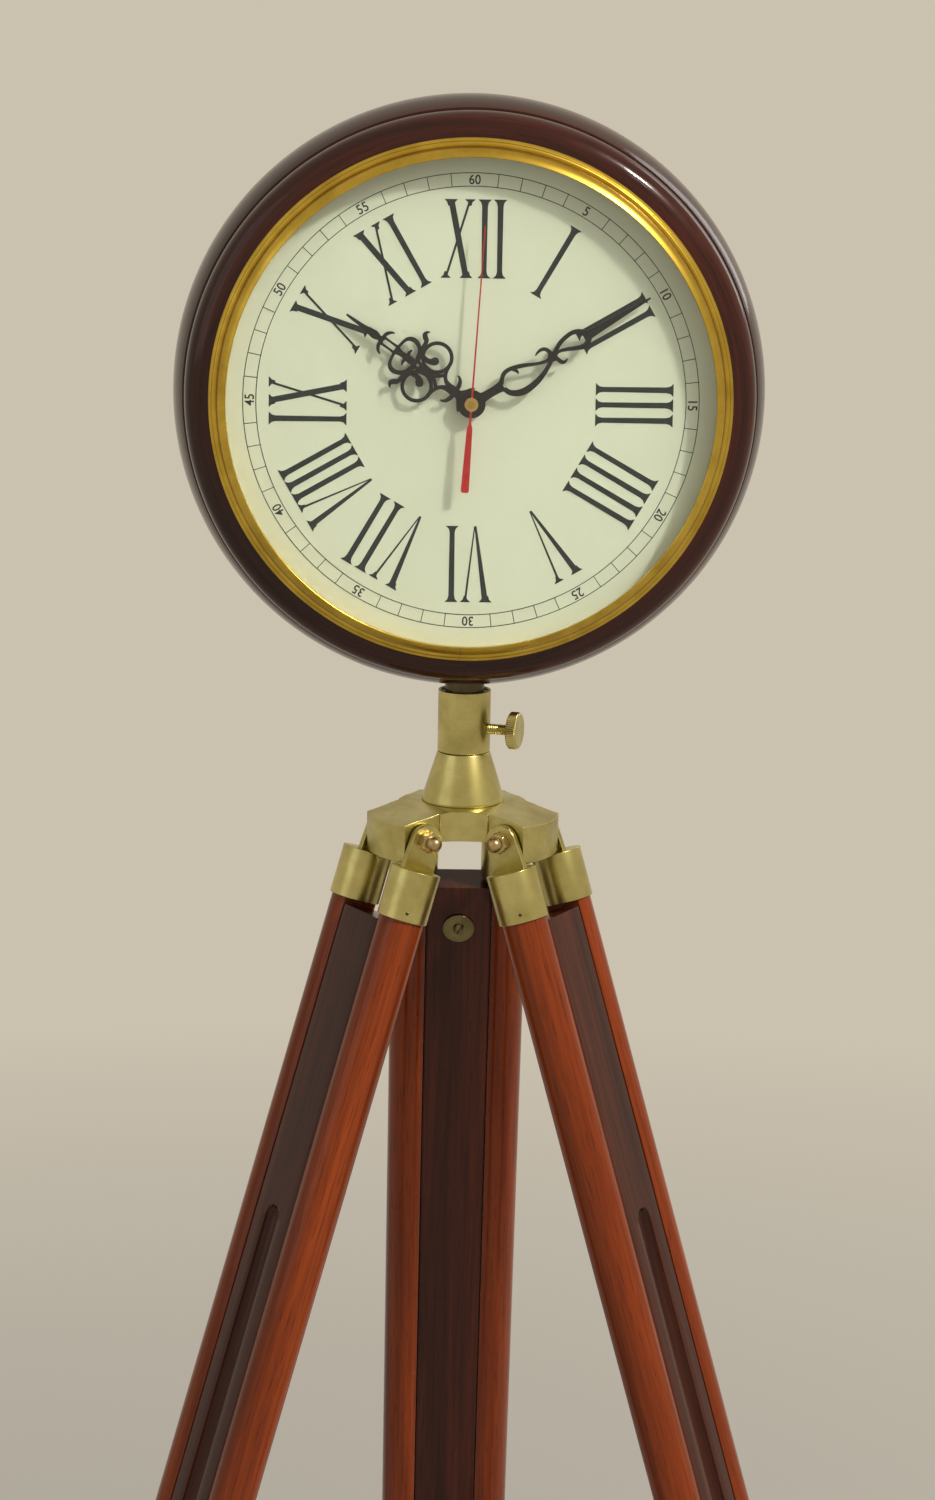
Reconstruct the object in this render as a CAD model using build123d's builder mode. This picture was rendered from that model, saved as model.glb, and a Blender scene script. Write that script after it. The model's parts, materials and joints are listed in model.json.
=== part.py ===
from build123d import *
from math import atan2, cos, degrees, radians, sin
import os

# A tripod floor clock. Millimetres, +Z up, the dial faces -Y.
# The origin is on the floor, under the middle of the whole clock's outline.

os.makedirs("parts", exist_ok=True)

# Driving sizes: the stance of the tripod
leg_directions = {"left": 210.0, "right": 330.0, "rear": 90.0}
leg_tilt = 18.0
leg_length = 872.0
leg_offset = 2.5
pivot_radius = 36.5
rail_spacing = 51.0
rail_diameter = 24.4
board_width = 35.6
board_thickness = 20.0
slide_gap = 0.7
fit = 0.05
seat_gap = 0.1
overrun = 5.0

# Small rounds are many-sided, to keep the facets few
peg_sides = 12
knob_sides = 24
ring_sides = 16
tube_sides = 24
cone_sides = 36
disc_sides = 64
bow_steps = 4

# Ferrules with their ears
ferrule_top = 16.0
ferrule_length = 27.0
ferrule_wall = 1.4
ferrule_cap = 3.0
ear_gap = 0.3
ear_thickness = 3.6
ear_radius = 9.0
ear_sides = 16

# Sliding board, its groove and its screws
board_drop = 3.5
groove_width = 13.0
groove_depth = 5.0
groove_start = 165.0
groove_margin = 45.0
stop_drop = 26.0
washer_diameter = 17.6
washer_thickness = 1.2
stop_head_diameter = 6.6
stop_head_height = 1.5
stop_shank_diameter = 3.8
stop_shank_length = 12.0
slot_width = 1.0

# Shoe at the foot of the board
shoe_height = 30.0
shoe_socket = 26.0
shoe_wall = 2.4
shoe_taper = 27.0
nose_height = 5.0
nose_shoulder = 5.0
nose_thickness = 6.0
nose_width = 14.0
shoe_pin_diameter = 4.0

# Clamp at the bottom of the rails
clamp_rise = 137.0
clamp_height = 30.0
clamp_wall = 2.4
clamp_slack = 0.3
boss_diameter = 18.0
boss_height = 6.0
clamp_corner = 8.0

# Thumb screws
screw_diameter = 6.0
screw_show = 11.0
knob_diameter = 20.0
knob_thickness = 6.0

# Pivot studs and domed nuts
stud_diameter = 6.0
nut_flats = 10.0
nut_height = 5.0
dome_diameter = 9.4
dome_height = 6.2
nut_socket = 6.5
dome_shares = ((1.0, 0.0), (0.86, 0.62), (0.30, 1.0))

# Hub: a scalloped disc with three lobes
hub_bore_diameter = 10.0
hub_crown_radius = 22.2
hub_crown_height = 14.2
hub_slope = 12.0
hub_radius = 52.0
web_drop = 1.8
lobe_width = 41.0
lobe_start = 31.0
scallop_waist_radius = 31.0
scallop_radius = 53.0

# Column: bolt, cone and sleeve
cone_height = 26.9
cone_land = 1.2
cone_top_diameter = 28.2
sleeve_length = 33.7
sleeve_diameter = 28.2
sleeve_floor = 6.0
bolt_head_flats = 16.0
bolt_head_height = 4.0
thumb_drop = 20.7
thumb_direction = -17.0

# Neck of the clock head
neck_diameter = 25.0
neck_collar_diameter = 21.0
neck_drop = 1.0
neck_into_case = 18.2
head_gap = 2.0
neck_screw_diameter = 6.0
neck_screw_head_diameter = 11.0
neck_screw_head_height = 3.0
neck_screw_grip = 16.0
neck_screw_seat = 1.5

# Clock case, a turned ring
case_radius = 156.6
case_depth = 70.0
dial_forward = 36.0
case_swell = 7.2
front_roll_width = 13.2
front_roll_depth = 17.0
front_roll_rise = 5.0
front_roll_steps = 3
front_step = 1.4
barrel_steps = 6
bore_inset = 4.8

# Bezel, glass and dial
bezel_width = 9.4
bezel_lip = 0.3
small_roll_height = 3.6
small_roll_width = 3.0
groove_inset = 4.3
groove_height = 2.8
main_roll_rise = 2.0
main_roll_steps = 2
sight_height = 12.6
glass_thickness = 1.6
glass_height = 8.6
glass_rebate = 2.2
glass_slack = 0.2
clip_length = 12.0
clip_thickness = 1.0
clip_reach = 3.0
clip_count = 4
dial_thickness = 1.5

# Movement behind the dial
movement_side = 56.0
movement_depth = 16.0
movement_wall = 1.5
movement_standoff = 1.0
bay_height = 16.0
bay_length = 52.0
bay_wall = 1.4
bush_diameter = 8.0
bush_height = 2.3
dial_nut_flats = 12.0
dial_nut_height = 2.0
battery_diameter = 14.2
battery_length = 48.8
battery_nub_diameter = 5.4
battery_nub_length = 1.4
coil_diameter = 7.0
coil_length = 24.0
coil_flange_diameter = 9.0
coil_flange_thickness = 1.2
coil_rise = 20.0
knob_setting_diameter = 14.0
knob_setting_thickness = 3.0
knob_setting_gap = 0.6

# Wheels that turn the hour hand at a twelfth of the minute hand
gear_module = 0.4
cannon_teeth = 10
minute_wheel_teeth = 30
minute_pinion_teeth = 8
hour_wheel_teeth = 32
wheel_thickness = 1.2
wheel_gap = 1.2
tooth_foot_share = 0.90
tooth_root_share = 0.88
tooth_tip_share = 0.34
addendum_share = 0.85
dedendum_share = 1.25
hour_pipe_diameter = 5.0
minute_arbor_diameter = 3.2
second_arbor_diameter = 1.6
wheel_arbor_diameter = 1.8

# Hands
hand_thickness = 0.8
hour_hand_height = 3.2
minute_hand_height = 5.0
second_hand_height = 6.7
pin_height = 8.1
hour_hand_share = 0.625
minute_hand_share = 0.845
second_hand_share = 0.725
second_tail_share = 0.363
hand_hub_diameter = 14.6
second_hub_diameter = 7.2
pin_cap_diameter = 4.2
minute_hand_angle = 58.8
hour_hand_angle = 304.9
second_hand_angle = 3.5

# Places worked out from the sizes
up = Axis.Z.direction
front = -Axis.Y.direction
tilt_out = sin(radians(leg_tilt))
tilt_down = cos(radians(leg_tilt))
rail_radius = rail_diameter / 2
board_gap = board_width / 2 + slide_gap
foot_end = leg_length + nose_height
foot_reach = pivot_radius + leg_offset * tilt_down + foot_end * tilt_out
pivot_height = foot_end * tilt_down - leg_offset * tilt_out
shoe_half = board_width / 2 + shoe_wall
front_reach = foot_reach / 2 + shoe_half * cos(radians(30))
column_y = (front_reach - foot_reach) / 2
pivot_centre = Vector(0, column_y, pivot_height)
cone_base = hub_crown_height
sleeve_base = cone_base + cone_height
sleeve_mouth = sleeve_base + sleeve_length
case_bottom = sleeve_mouth + head_gap
clock_rise = case_bottom + case_radius
front_roll_radius = case_radius - case_swell
bezel_radius = front_roll_radius - front_roll_width
small_roll_radius = bezel_radius - small_roll_width
groove_radius = bezel_radius - groove_inset
sight_radius = bezel_radius - bezel_width
bezel_rebate = sight_radius + glass_rebate
case_bore_radius = sight_radius - bore_inset
hour_hand_length = hour_hand_share * sight_radius
minute_hand_length = minute_hand_share * sight_radius
second_hand_length = second_hand_share * sight_radius
second_tail_length = second_tail_share * sight_radius
dial_centre = pivot_centre + up * clock_rise + front * dial_forward
ear_inner = lobe_width / 2 + ear_gap
ear_outer = ear_inner + ear_thickness
ferrule_radius = rail_radius + ferrule_wall
ferrule_end = ferrule_top + ferrule_length
rail_top = ferrule_top + ferrule_cap + seat_gap
clamp_top = leg_length - clamp_rise
clamp_end = clamp_top + clamp_height
board_top = ferrule_end + board_drop
shoe_end = leg_length - shoe_taper
shoe_top = shoe_end - shoe_height
board_end = shoe_top + shoe_socket
board_length = board_end - board_top
# The lobes reach down to the ferrules of the open legs, and stop them there
lobe_bearing = (hub_radius - pivot_radius - ferrule_top * tilt_out) / tilt_down
lobe_drop = ferrule_top * tilt_down - lobe_bearing * tilt_out - seat_gap
flat_start = pivot_radius - ear_radius - ear_gap
clamp_half = rail_radius + clamp_wall


def save(piece, name):
    """Label a finished piece and write its file."""
    piece.part.label = name
    export_step(piece.part, f"parts/{name}.step")


def peg(diameter):
    """Many-sided disc that fits into a round hole of this diameter, in a sketch."""
    RegularPolygon(diameter / 2, peg_sides)


def peg_hole(diameter):
    """Many-sided hole that a round peg of this diameter fits, in a sketch."""
    RegularPolygon(diameter / 2, peg_sides, major_radius=False, mode=Mode.SUBTRACT)


def rolled(start, end, rise, steps):
    """Corners of a turned roll, a bow that rises to the left of its chord."""
    chord = Vector(*end) - Vector(*start)
    left = Vector(-chord.Y, chord.X).normalized() * rise
    shares = [step / steps for step in range(steps + 1)]
    points = [Vector(*start) + chord * share + left * (4 * share * (1 - share)) for share in shares]
    return [(point.X, point.Y) for point in points]


# Frames of reference


def level(height, turn=0.0):
    """Horizontal plane on the column's axis, its height counted from the pivots."""
    across = Vector(cos(radians(turn)), sin(radians(turn)), 0)
    return Plane(origin=pivot_centre + up * height, x_dir=across, z_dir=up)


def leg_plane(direction):
    """Plane on a leg's middle line: x along its pivot stud, y outwards, z down the leg."""
    out = Vector(cos(radians(direction)), sin(radians(direction)), 0)
    across = Vector(-out.Y, out.X, 0)
    down = out * tilt_out - up * tilt_down
    outward = out * tilt_down + up * tilt_out
    start = pivot_centre + out * pivot_radius + outward * leg_offset
    return Plane(origin=start, x_dir=across, z_dir=down)


def side_plane(leg, across):
    """Plane square to a leg's pivot stud: x outwards, y down the leg."""
    return Plane(origin=leg.from_local_coords((across, 0, 0)), x_dir=leg.y_dir, z_dir=leg.x_dir)


def face_plane(leg, outwards):
    """Plane flat on a leg's outer face: x along the pivot stud, y up the leg."""
    return Plane(origin=leg.from_local_coords((0, outwards, 0)), x_dir=leg.x_dir, z_dir=leg.y_dir)


def dial_plane(height, turn=0.0):
    """Plane at a height above the dial's face, its y axis turned clockwise from twelve."""
    across = Axis.X.direction * cos(radians(turn)) - up * sin(radians(turn))
    return Plane(origin=dial_centre + front * height, x_dir=across, z_dir=front)


def ring_section():
    """Section of the pieces turned about the dial's axis: x is a radius, y the height."""
    return Plane(origin=dial_centre, x_dir=Axis.X.direction, z_dir=-up)


dial_axis = Axis(dial_centre, front)


# Hub, bolt, cone and sleeve


def lobe_section(direction):
    """Upright plane along a lobe of the hub: x is a radius, y the height above the pivots."""
    leg = leg_plane(direction)
    out = Vector(cos(radians(direction)), sin(radians(direction)), 0)
    return Plane(origin=pivot_centre, x_dir=out, z_dir=-leg.x_dir)


def make_hub():
    with BuildPart() as hub:
        # Three scallops and the flats that the ears bear on
        with BuildSketch(level(-lobe_drop)):
            Circle(hub_radius)
            with PolarLocations(scallop_waist_radius + scallop_radius, len(leg_directions), start_angle=-90):
                Circle(scallop_radius, mode=Mode.SUBTRACT)
            for direction in leg_directions.values():
                for side in (-1, 1):
                    with Locations(Rotation(0, 0, direction)):
                        with Locations((flat_start, side * lobe_width / 2)):
                            Rectangle(
                                hub_radius,
                                hub_radius,
                                align=(Align.MIN, Align.MIN if side > 0 else Align.MAX),
                                mode=Mode.SUBTRACT,
                            )
        extrude(amount=lobe_drop + hub_crown_height)
        # Between the lobes the hub is only a web
        with BuildSketch(level(-lobe_drop - overrun)):
            Circle(hub_radius + overrun)
            for direction in leg_directions.values():
                with Locations(Rotation(0, 0, direction)):
                    with Locations((lobe_start, 0)):
                        Rectangle(
                            hub_radius,
                            lobe_width,
                            align=(Align.MIN, Align.CENTER),
                            mode=Mode.SUBTRACT,
                        )
        extrude(amount=lobe_drop - web_drop + overrun, mode=Mode.SUBTRACT)
        for direction in leg_directions.values():
            leg = leg_plane(direction)
            # The top of each lobe falls away from the crown
            fall = (hub_radius - hub_crown_radius) * sin(radians(hub_slope)) / cos(radians(hub_slope))
            with BuildSketch(lobe_section(direction)):
                with BuildLine():
                    Polyline(
                        (hub_crown_radius, hub_crown_height),
                        (hub_radius, hub_crown_height - fall),
                        (hub_radius, hub_crown_height + overrun),
                        (hub_crown_radius, hub_crown_height + overrun),
                        close=True,
                    )
                make_face()
            extrude(amount=hub_radius, both=True, mode=Mode.SUBTRACT)
            with BuildSketch(side_plane(leg, -lobe_width / 2 - overrun)):
                with Locations((-leg_offset, 0)):
                    RegularPolygon(stud_diameter / 2, peg_sides, major_radius=False)
            extrude(amount=lobe_width + 2 * overrun, mode=Mode.SUBTRACT)
        with BuildSketch(level(-web_drop)):
            RegularPolygon(hub_bore_diameter / 2, peg_sides, major_radius=False)
        extrude(amount=web_drop + hub_crown_height, mode=Mode.SUBTRACT)
    save(hub, "hub")


def make_column_bolt():
    with BuildPart() as column_bolt:
        with BuildSketch(level(-web_drop - bolt_head_height)):
            RegularPolygon(bolt_head_flats / 2, 6, major_radius=False)
        extrude(amount=bolt_head_height)
        with BuildSketch(level(-web_drop)):
            peg(hub_bore_diameter)
        extrude(amount=web_drop + sleeve_base + sleeve_floor)
    save(column_bolt, "column_bolt")


def tapering(lower, upper, height):
    """Angle of a taper between two radii over a height."""
    return degrees(atan2(lower - upper, height))


def make_cone():
    rise = cone_height - cone_land
    with BuildPart() as cone:
        with BuildSketch(level(cone_base)):
            RegularPolygon(hub_crown_radius, cone_sides, major_radius=False)
        extrude(amount=cone_land)
        with BuildSketch(level(cone_base + cone_land)):
            RegularPolygon(hub_crown_radius, cone_sides, major_radius=False)
        extrude(amount=rise, taper=tapering(hub_crown_radius, cone_top_diameter / 2, rise))
        with BuildSketch(level(cone_base)):
            RegularPolygon(hub_bore_diameter / 2, peg_sides, major_radius=False)
        extrude(amount=cone_height, mode=Mode.SUBTRACT)
    save(cone, "cone")


def make_sleeve():
    with BuildPart() as sleeve:
        with BuildSketch(level(sleeve_base)):
            RegularPolygon(sleeve_diameter / 2, tube_sides)
            peg_hole(hub_bore_diameter)
        extrude(amount=sleeve_floor)
        with BuildSketch(level(sleeve_base + sleeve_floor)):
            RegularPolygon(sleeve_diameter / 2, tube_sides)
            RegularPolygon(neck_diameter / 2 + fit, tube_sides, major_radius=False, mode=Mode.SUBTRACT)
        extrude(amount=sleeve_length - sleeve_floor)
        with BuildSketch(thumb_plane(0)):
            RegularPolygon(screw_diameter / 2 + fit, peg_sides, major_radius=False)
        extrude(amount=sleeve_diameter, mode=Mode.SUBTRACT)
    save(sleeve, "sleeve")


def thumb_plane(distance):
    """Plane square to the thumb screw of the sleeve, at a distance from the column's axis."""
    out = Vector(cos(radians(thumb_direction)), sin(radians(thumb_direction)), 0)
    centre = pivot_centre + up * (sleeve_mouth - thumb_drop)
    return Plane(origin=centre + out * distance, x_dir=up, z_dir=out)


def make_thumb_screw(name, tip, shank):
    """A thumb screw that starts at its tip's plane, with a knurled head as a many-sided disc."""
    with BuildPart() as thumb_screw:
        with BuildSketch(tip):
            Circle(screw_diameter / 2)
        extrude(amount=shank)
        with BuildSketch(tip.offset(shank)):
            RegularPolygon(knob_diameter / 2, knob_sides)
        extrude(amount=knob_thickness)
    save(thumb_screw, name)


# Pivot studs and domed nuts


def make_pivot_studs():
    reach = ear_outer + nut_height
    with BuildPart() as pivot_studs:
        for direction in leg_directions.values():
            leg = leg_plane(direction)
            with BuildSketch(side_plane(leg, -reach)):
                with Locations((-leg_offset, 0)):
                    Circle(stud_diameter / 2)
            extrude(amount=2 * reach)
    save(pivot_studs, "pivot_studs")


def make_acorn_nuts():
    """Six nuts with a domed cap, each dome a stack of tapering steps."""
    with BuildPart() as nut:
        with BuildSketch(Plane.XY):
            RegularPolygon(nut_flats / 2, 6, major_radius=False)
        extrude(amount=nut_height)
        for (wide, low), (narrow, high) in zip(dome_shares, dome_shares[1:]):
            rise = (high - low) * dome_height
            with BuildSketch(Plane.XY.offset(nut_height + low * dome_height)):
                RegularPolygon(wide * dome_diameter / 2, peg_sides, major_radius=False)
            extrude(amount=rise, taper=tapering(wide * dome_diameter / 2, narrow * dome_diameter / 2, rise))
        with BuildSketch(Plane.XY):
            RegularPolygon(stud_diameter / 2, peg_sides, major_radius=False)
        extrude(amount=nut_socket, mode=Mode.SUBTRACT)
    with BuildPart() as acorn_nuts:
        for direction in leg_directions.values():
            leg = leg_plane(direction)
            for side in (-1, 1):
                seat = leg.from_local_coords((side * (ear_outer + seat_gap), -leg_offset, 0))
                with Locations(Plane(origin=seat, x_dir=leg.y_dir, z_dir=leg.x_dir * side)):
                    add(nut.part)
    save(acorn_nuts, "acorn_nuts")


# Legs


def make_ferrule(name, leg, side):
    """Closed cup over a rail's top, with the ear that hangs on the pivot stud."""
    cup_top = ferrule_top + ferrule_cap
    with BuildPart() as ferrule:
        with BuildSketch(leg.offset(ferrule_top)):
            with Locations((side * rail_spacing / 2, 0)):
                RegularPolygon(ferrule_radius, tube_sides)
        extrude(amount=ferrule_length)
        with BuildSketch(leg.offset(cup_top)):
            with Locations((side * rail_spacing / 2, 0)):
                RegularPolygon(rail_radius + fit, tube_sides, major_radius=False)
        extrude(amount=ferrule_length, mode=Mode.SUBTRACT)
        with BuildSketch(side_plane(leg, side * ear_inner)):
            with Locations((-leg_offset, 0)):
                RegularPolygon(ear_radius, ear_sides)
                Rectangle(2 * ear_radius, cup_top, align=(Align.CENTER, Align.MIN))
                peg_hole(stud_diameter + 2 * fit)
        extrude(amount=side * ear_thickness)
    save(ferrule, name)


def make_rail(name, leg, side):
    """Round rail whose inner side is planed flat below the ferrule, as a track for the board."""
    with BuildPart() as rail:
        with BuildSketch(leg.offset(rail_top)):
            with Locations((side * rail_spacing / 2, 0)):
                Circle(rail_radius)
        extrude(amount=clamp_end - rail_top)
        with BuildSketch(leg.offset(ferrule_end)):
            with Locations((side * board_gap, 0)):
                Rectangle(
                    rail_diameter,
                    rail_diameter,
                    align=(Align.MAX if side > 0 else Align.MIN, Align.CENTER),
                )
        extrude(amount=clamp_end - ferrule_end, mode=Mode.SUBTRACT)
    save(rail, name)


def make_board(name, leg):
    """Board that slides between the rails, with the groove that the clamp's screw runs in."""
    groove_top = board_top + groove_start + groove_width / 2
    groove_bottom = board_end - groove_margin - groove_width / 2
    with BuildPart() as board:
        with BuildSketch(leg.offset(board_top)):
            Rectangle(board_width, board_thickness)
        extrude(amount=board_length)
        with BuildSketch(face_plane(leg, board_thickness / 2)):
            with Locations((0, -(groove_top + groove_bottom) / 2)):
                SlotCenterToCenter(groove_bottom - groove_top, groove_width, rotation=90)
        extrude(amount=-groove_depth, mode=Mode.SUBTRACT)
        with BuildSketch(face_plane(leg, -board_thickness / 2)):
            with Locations((0, -board_top - stop_drop)):
                RegularPolygon(stop_shank_diameter / 2, peg_sides, major_radius=False)
        extrude(amount=stop_shank_length, mode=Mode.SUBTRACT)
        with BuildSketch(face_plane(leg, -board_thickness)):
            with Locations((0, -(shoe_top + board_end) / 2)):
                RegularPolygon(shoe_pin_diameter / 2, peg_sides, major_radius=False)
        extrude(amount=2 * board_thickness, mode=Mode.SUBTRACT)
    save(board, name)


def make_shoe(name, leg):
    """Brass shoe: a socket on the board's end that tapers to a nose, cut level with the floor."""
    width = 2 * shoe_half
    depth = board_thickness + 2 * shoe_wall
    nose_end = foot_end + nose_height
    with BuildPart() as shoe:
        with BuildSketch(side_plane(leg, -shoe_half)):
            with BuildLine():
                Polyline(
                    (-nose_thickness / 2, nose_end),
                    (-nose_shoulder, leg_length),
                    (-depth / 2, shoe_end),
                    (-depth / 2, shoe_top),
                    (depth / 2, shoe_top),
                    (depth / 2, shoe_end),
                    (nose_shoulder, leg_length),
                    (nose_thickness / 2, nose_end),
                    close=True,
                )
            make_face()
        extrude(amount=width)
        with BuildSketch(face_plane(leg, -depth)):
            with BuildLine():
                Polyline(
                    (-shoe_half, -shoe_top),
                    (shoe_half, -shoe_top),
                    (shoe_half, -shoe_end),
                    (nose_width / 2, -nose_end),
                    (-nose_width / 2, -nose_end),
                    (-shoe_half, -shoe_end),
                    close=True,
                )
            make_face()
        extrude(amount=2 * depth, mode=Mode.INTERSECT)
        with BuildSketch(leg.offset(shoe_top)):
            Rectangle(board_width, board_thickness)
        extrude(amount=shoe_socket, mode=Mode.SUBTRACT)
        with BuildSketch(face_plane(leg, -depth)):
            with Locations((0, -(shoe_top + board_end) / 2)):
                RegularPolygon(shoe_pin_diameter / 2, peg_sides, major_radius=False)
        extrude(amount=2 * depth, mode=Mode.SUBTRACT)
        with BuildSketch(level(-pivot_height)):
            Circle(2 * foot_reach)
        extrude(amount=-2 * nose_height, mode=Mode.SUBTRACT)
    save(shoe, name)


def make_board_screws(name, leg):
    """The stop washer and its slotted screw near the board's top, and the shoe's pin."""
    inner_face = -board_thickness / 2
    head_face = inner_face - washer_thickness
    pin_face = -inner_face + shoe_wall
    with BuildPart() as board_screws:
        with BuildSketch(face_plane(leg, inner_face)):
            with Locations((0, -board_top - stop_drop)):
                RegularPolygon(washer_diameter / 2, knob_sides)
                peg_hole(stop_shank_diameter)
        extrude(amount=-washer_thickness)
        with BuildSketch(face_plane(leg, head_face)):
            with Locations((0, -board_top - stop_drop)):
                peg(stop_head_diameter)
        extrude(amount=-stop_head_height)
        with BuildSketch(face_plane(leg, head_face - stop_head_height)):
            with Locations((0, -board_top - stop_drop)):
                Rectangle(2 * stop_head_diameter, slot_width, rotation=45)
        extrude(amount=slot_width, mode=Mode.SUBTRACT)
        with BuildSketch(face_plane(leg, head_face)):
            with Locations((0, -board_top - stop_drop)):
                peg(stop_shank_diameter)
        extrude(amount=stop_shank_length + washer_thickness)
        with BuildSketch(face_plane(leg, -pin_face)):
            with Locations((0, -(shoe_top + board_end) / 2)):
                peg(shoe_pin_diameter)
        extrude(amount=2 * pin_face)
    save(board_screws, name)


def make_clamp(name, leg):
    """Strap round both rails and the board, with the boss of the thumb screw."""
    boss = face_plane(leg, board_thickness / 2 + clamp_slack)
    boss_end = clamp_half - board_thickness / 2 - clamp_slack + boss_height
    with BuildPart() as clamp:
        with BuildSketch(leg.offset(clamp_top)) as strap:
            Rectangle(rail_spacing + 2 * clamp_half, 2 * clamp_half)
            chamfer(strap.vertices(), clamp_corner)
        extrude(amount=clamp_height)
        with BuildSketch(boss):
            with Locations((0, -clamp_top - clamp_height / 2)):
                RegularPolygon(boss_diameter / 2, knob_sides)
        extrude(amount=boss_end)
        with BuildSketch(leg.offset(clamp_top)):
            Rectangle(2 * board_gap, board_thickness + 2 * clamp_slack)
            for side in (-1, 1):
                with Locations((side * rail_spacing / 2, 0)):
                    RegularPolygon(rail_radius, tube_sides, major_radius=False)
        extrude(amount=clamp_height, mode=Mode.SUBTRACT)
        with BuildSketch(boss):
            with Locations((0, -clamp_top - clamp_height / 2)):
                RegularPolygon(screw_diameter / 2 + fit, peg_sides, major_radius=False)
        extrude(amount=boss_end, mode=Mode.SUBTRACT)
    save(clamp, name)


def make_clamp_screw(name, leg):
    """Thumb screw whose tip bears on the floor of the board's groove."""
    tip_height = board_thickness / 2 - groove_depth + seat_gap
    face = face_plane(leg, tip_height)
    tip = Plane(
        origin=face.from_local_coords((0, -clamp_top - clamp_height / 2, 0)),
        x_dir=face.x_dir,
        z_dir=face.z_dir,
    )
    make_thumb_screw(name, tip, clamp_half + boss_height + screw_show - tip_height)


# Clock case, bezel, glass and dial


def make_case_ring():
    """Turned wooden ring: a front roll, a small step, a swelling side and an open back."""
    barrel_radius = front_roll_radius + front_step
    with BuildPart() as case_ring:
        with BuildSketch(ring_section()):
            with BuildLine():
                Polyline(
                    (case_bore_radius, -case_depth),
                    (case_bore_radius, -dial_thickness),
                    *reversed(
                        rolled(
                            (front_roll_radius, -front_roll_depth),
                            (bezel_radius, -dial_thickness),
                            -front_roll_rise,
                            front_roll_steps,
                        )
                    ),
                    *rolled(
                        (barrel_radius, -front_roll_depth),
                        (barrel_radius, -case_depth),
                        case_radius - barrel_radius,
                        barrel_steps,
                    ),
                    close=True,
                )
            make_face()
        revolve(axis=dial_axis)
        # Socket for the neck, and the hole and seat of its screw
        with BuildSketch(level(case_bottom - overrun)):
            RegularPolygon(neck_collar_diameter / 2, tube_sides, major_radius=False)
        extrude(amount=overrun + neck_into_case, mode=Mode.SUBTRACT)
        with BuildSketch(level(case_bottom)):
            RegularPolygon(neck_screw_diameter / 2, peg_sides, major_radius=False)
        extrude(amount=case_radius - case_bore_radius + overrun, mode=Mode.SUBTRACT)
        with BuildSketch(level(neck_screw_level())):
            RegularPolygon(neck_screw_head_diameter / 2, peg_sides, major_radius=False)
        extrude(amount=neck_screw_seat + overrun, mode=Mode.SUBTRACT)
    save(case_ring, "case_ring")


def neck_screw_level():
    """Height of the seat under the neck screw's head, above the pivots."""
    return clock_rise - case_bore_radius - neck_screw_seat


def make_bezel():
    """Spun brass ring: outer lip, small bead, groove and the main roll round the glass."""
    with BuildPart() as bezel:
        with BuildSketch(ring_section()):
            with BuildLine():
                Polyline(
                    (bezel_radius, -dial_thickness),
                    (bezel_radius, bezel_lip),
                    (small_roll_radius, small_roll_height),
                    *rolled(
                        (groove_radius, groove_height),
                        (sight_radius, sight_height),
                        -main_roll_rise,
                        main_roll_steps,
                    ),
                    (sight_radius, glass_height + glass_thickness),
                    (bezel_rebate, glass_height + glass_thickness),
                    (bezel_rebate, -dial_thickness),
                    close=True,
                )
            make_face()
        revolve(axis=dial_axis)
    save(bezel, "bezel")


def make_glass():
    with BuildPart() as glass:
        with BuildSketch(dial_plane(glass_height)):
            RegularPolygon(bezel_rebate - glass_slack, disc_sides)
        extrude(amount=glass_thickness)
    save(glass, "glass")


def make_glass_clips():
    """Small spring clips inside the bezel that hold the glass up against its lip."""
    with BuildPart() as glass_clips:
        with BuildSketch(dial_plane(glass_height - clip_thickness)):
            Circle(bezel_rebate)
            Circle(bezel_rebate - clip_reach, mode=Mode.SUBTRACT)
            with PolarLocations(bezel_rebate, clip_count, start_angle=45):
                Rectangle(2 * clip_reach + overrun, clip_length, mode=Mode.INTERSECT)
        extrude(amount=clip_thickness)
    save(glass_clips, "glass_clips")


def make_dial():
    with BuildPart() as dial:
        with BuildSketch(dial_plane(-dial_thickness)):
            RegularPolygon(bezel_rebate - glass_slack, disc_sides)
            peg_hole(bush_diameter)
        extrude(amount=dial_thickness)
    save(dial, "dial")


# Neck


def make_neck():
    """Round spigot that turns in the sleeve, with a thinner collar fixed in the case."""
    bottom = sleeve_base + sleeve_floor + neck_drop
    with BuildPart() as neck:
        with BuildSketch(level(bottom)):
            Circle(neck_diameter / 2)
        extrude(amount=sleeve_mouth - neck_drop - bottom)
        with BuildSketch(level(sleeve_mouth - neck_drop)):
            RegularPolygon(neck_collar_diameter / 2, tube_sides)
        extrude(amount=neck_drop + head_gap + neck_into_case)
        with BuildSketch(level(case_bottom + neck_into_case)):
            RegularPolygon(neck_screw_diameter / 2, peg_sides, major_radius=False)
        extrude(amount=-neck_screw_grip, mode=Mode.SUBTRACT)
    save(neck, "neck")


def make_neck_screw():
    seat = neck_screw_level()
    end = case_bottom + neck_into_case - neck_screw_grip
    with BuildPart() as neck_screw:
        with BuildSketch(level(end)):
            peg(neck_screw_diameter)
        extrude(amount=seat - end)
        with BuildSketch(level(seat)):
            peg(neck_screw_head_diameter)
        extrude(amount=neck_screw_head_height)
        with BuildSketch(level(seat + neck_screw_head_height)):
            Rectangle(2 * neck_screw_head_diameter, slot_width)
        extrude(amount=-slot_width, mode=Mode.SUBTRACT)
    save(neck_screw, "neck_screw")


# Movement

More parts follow.
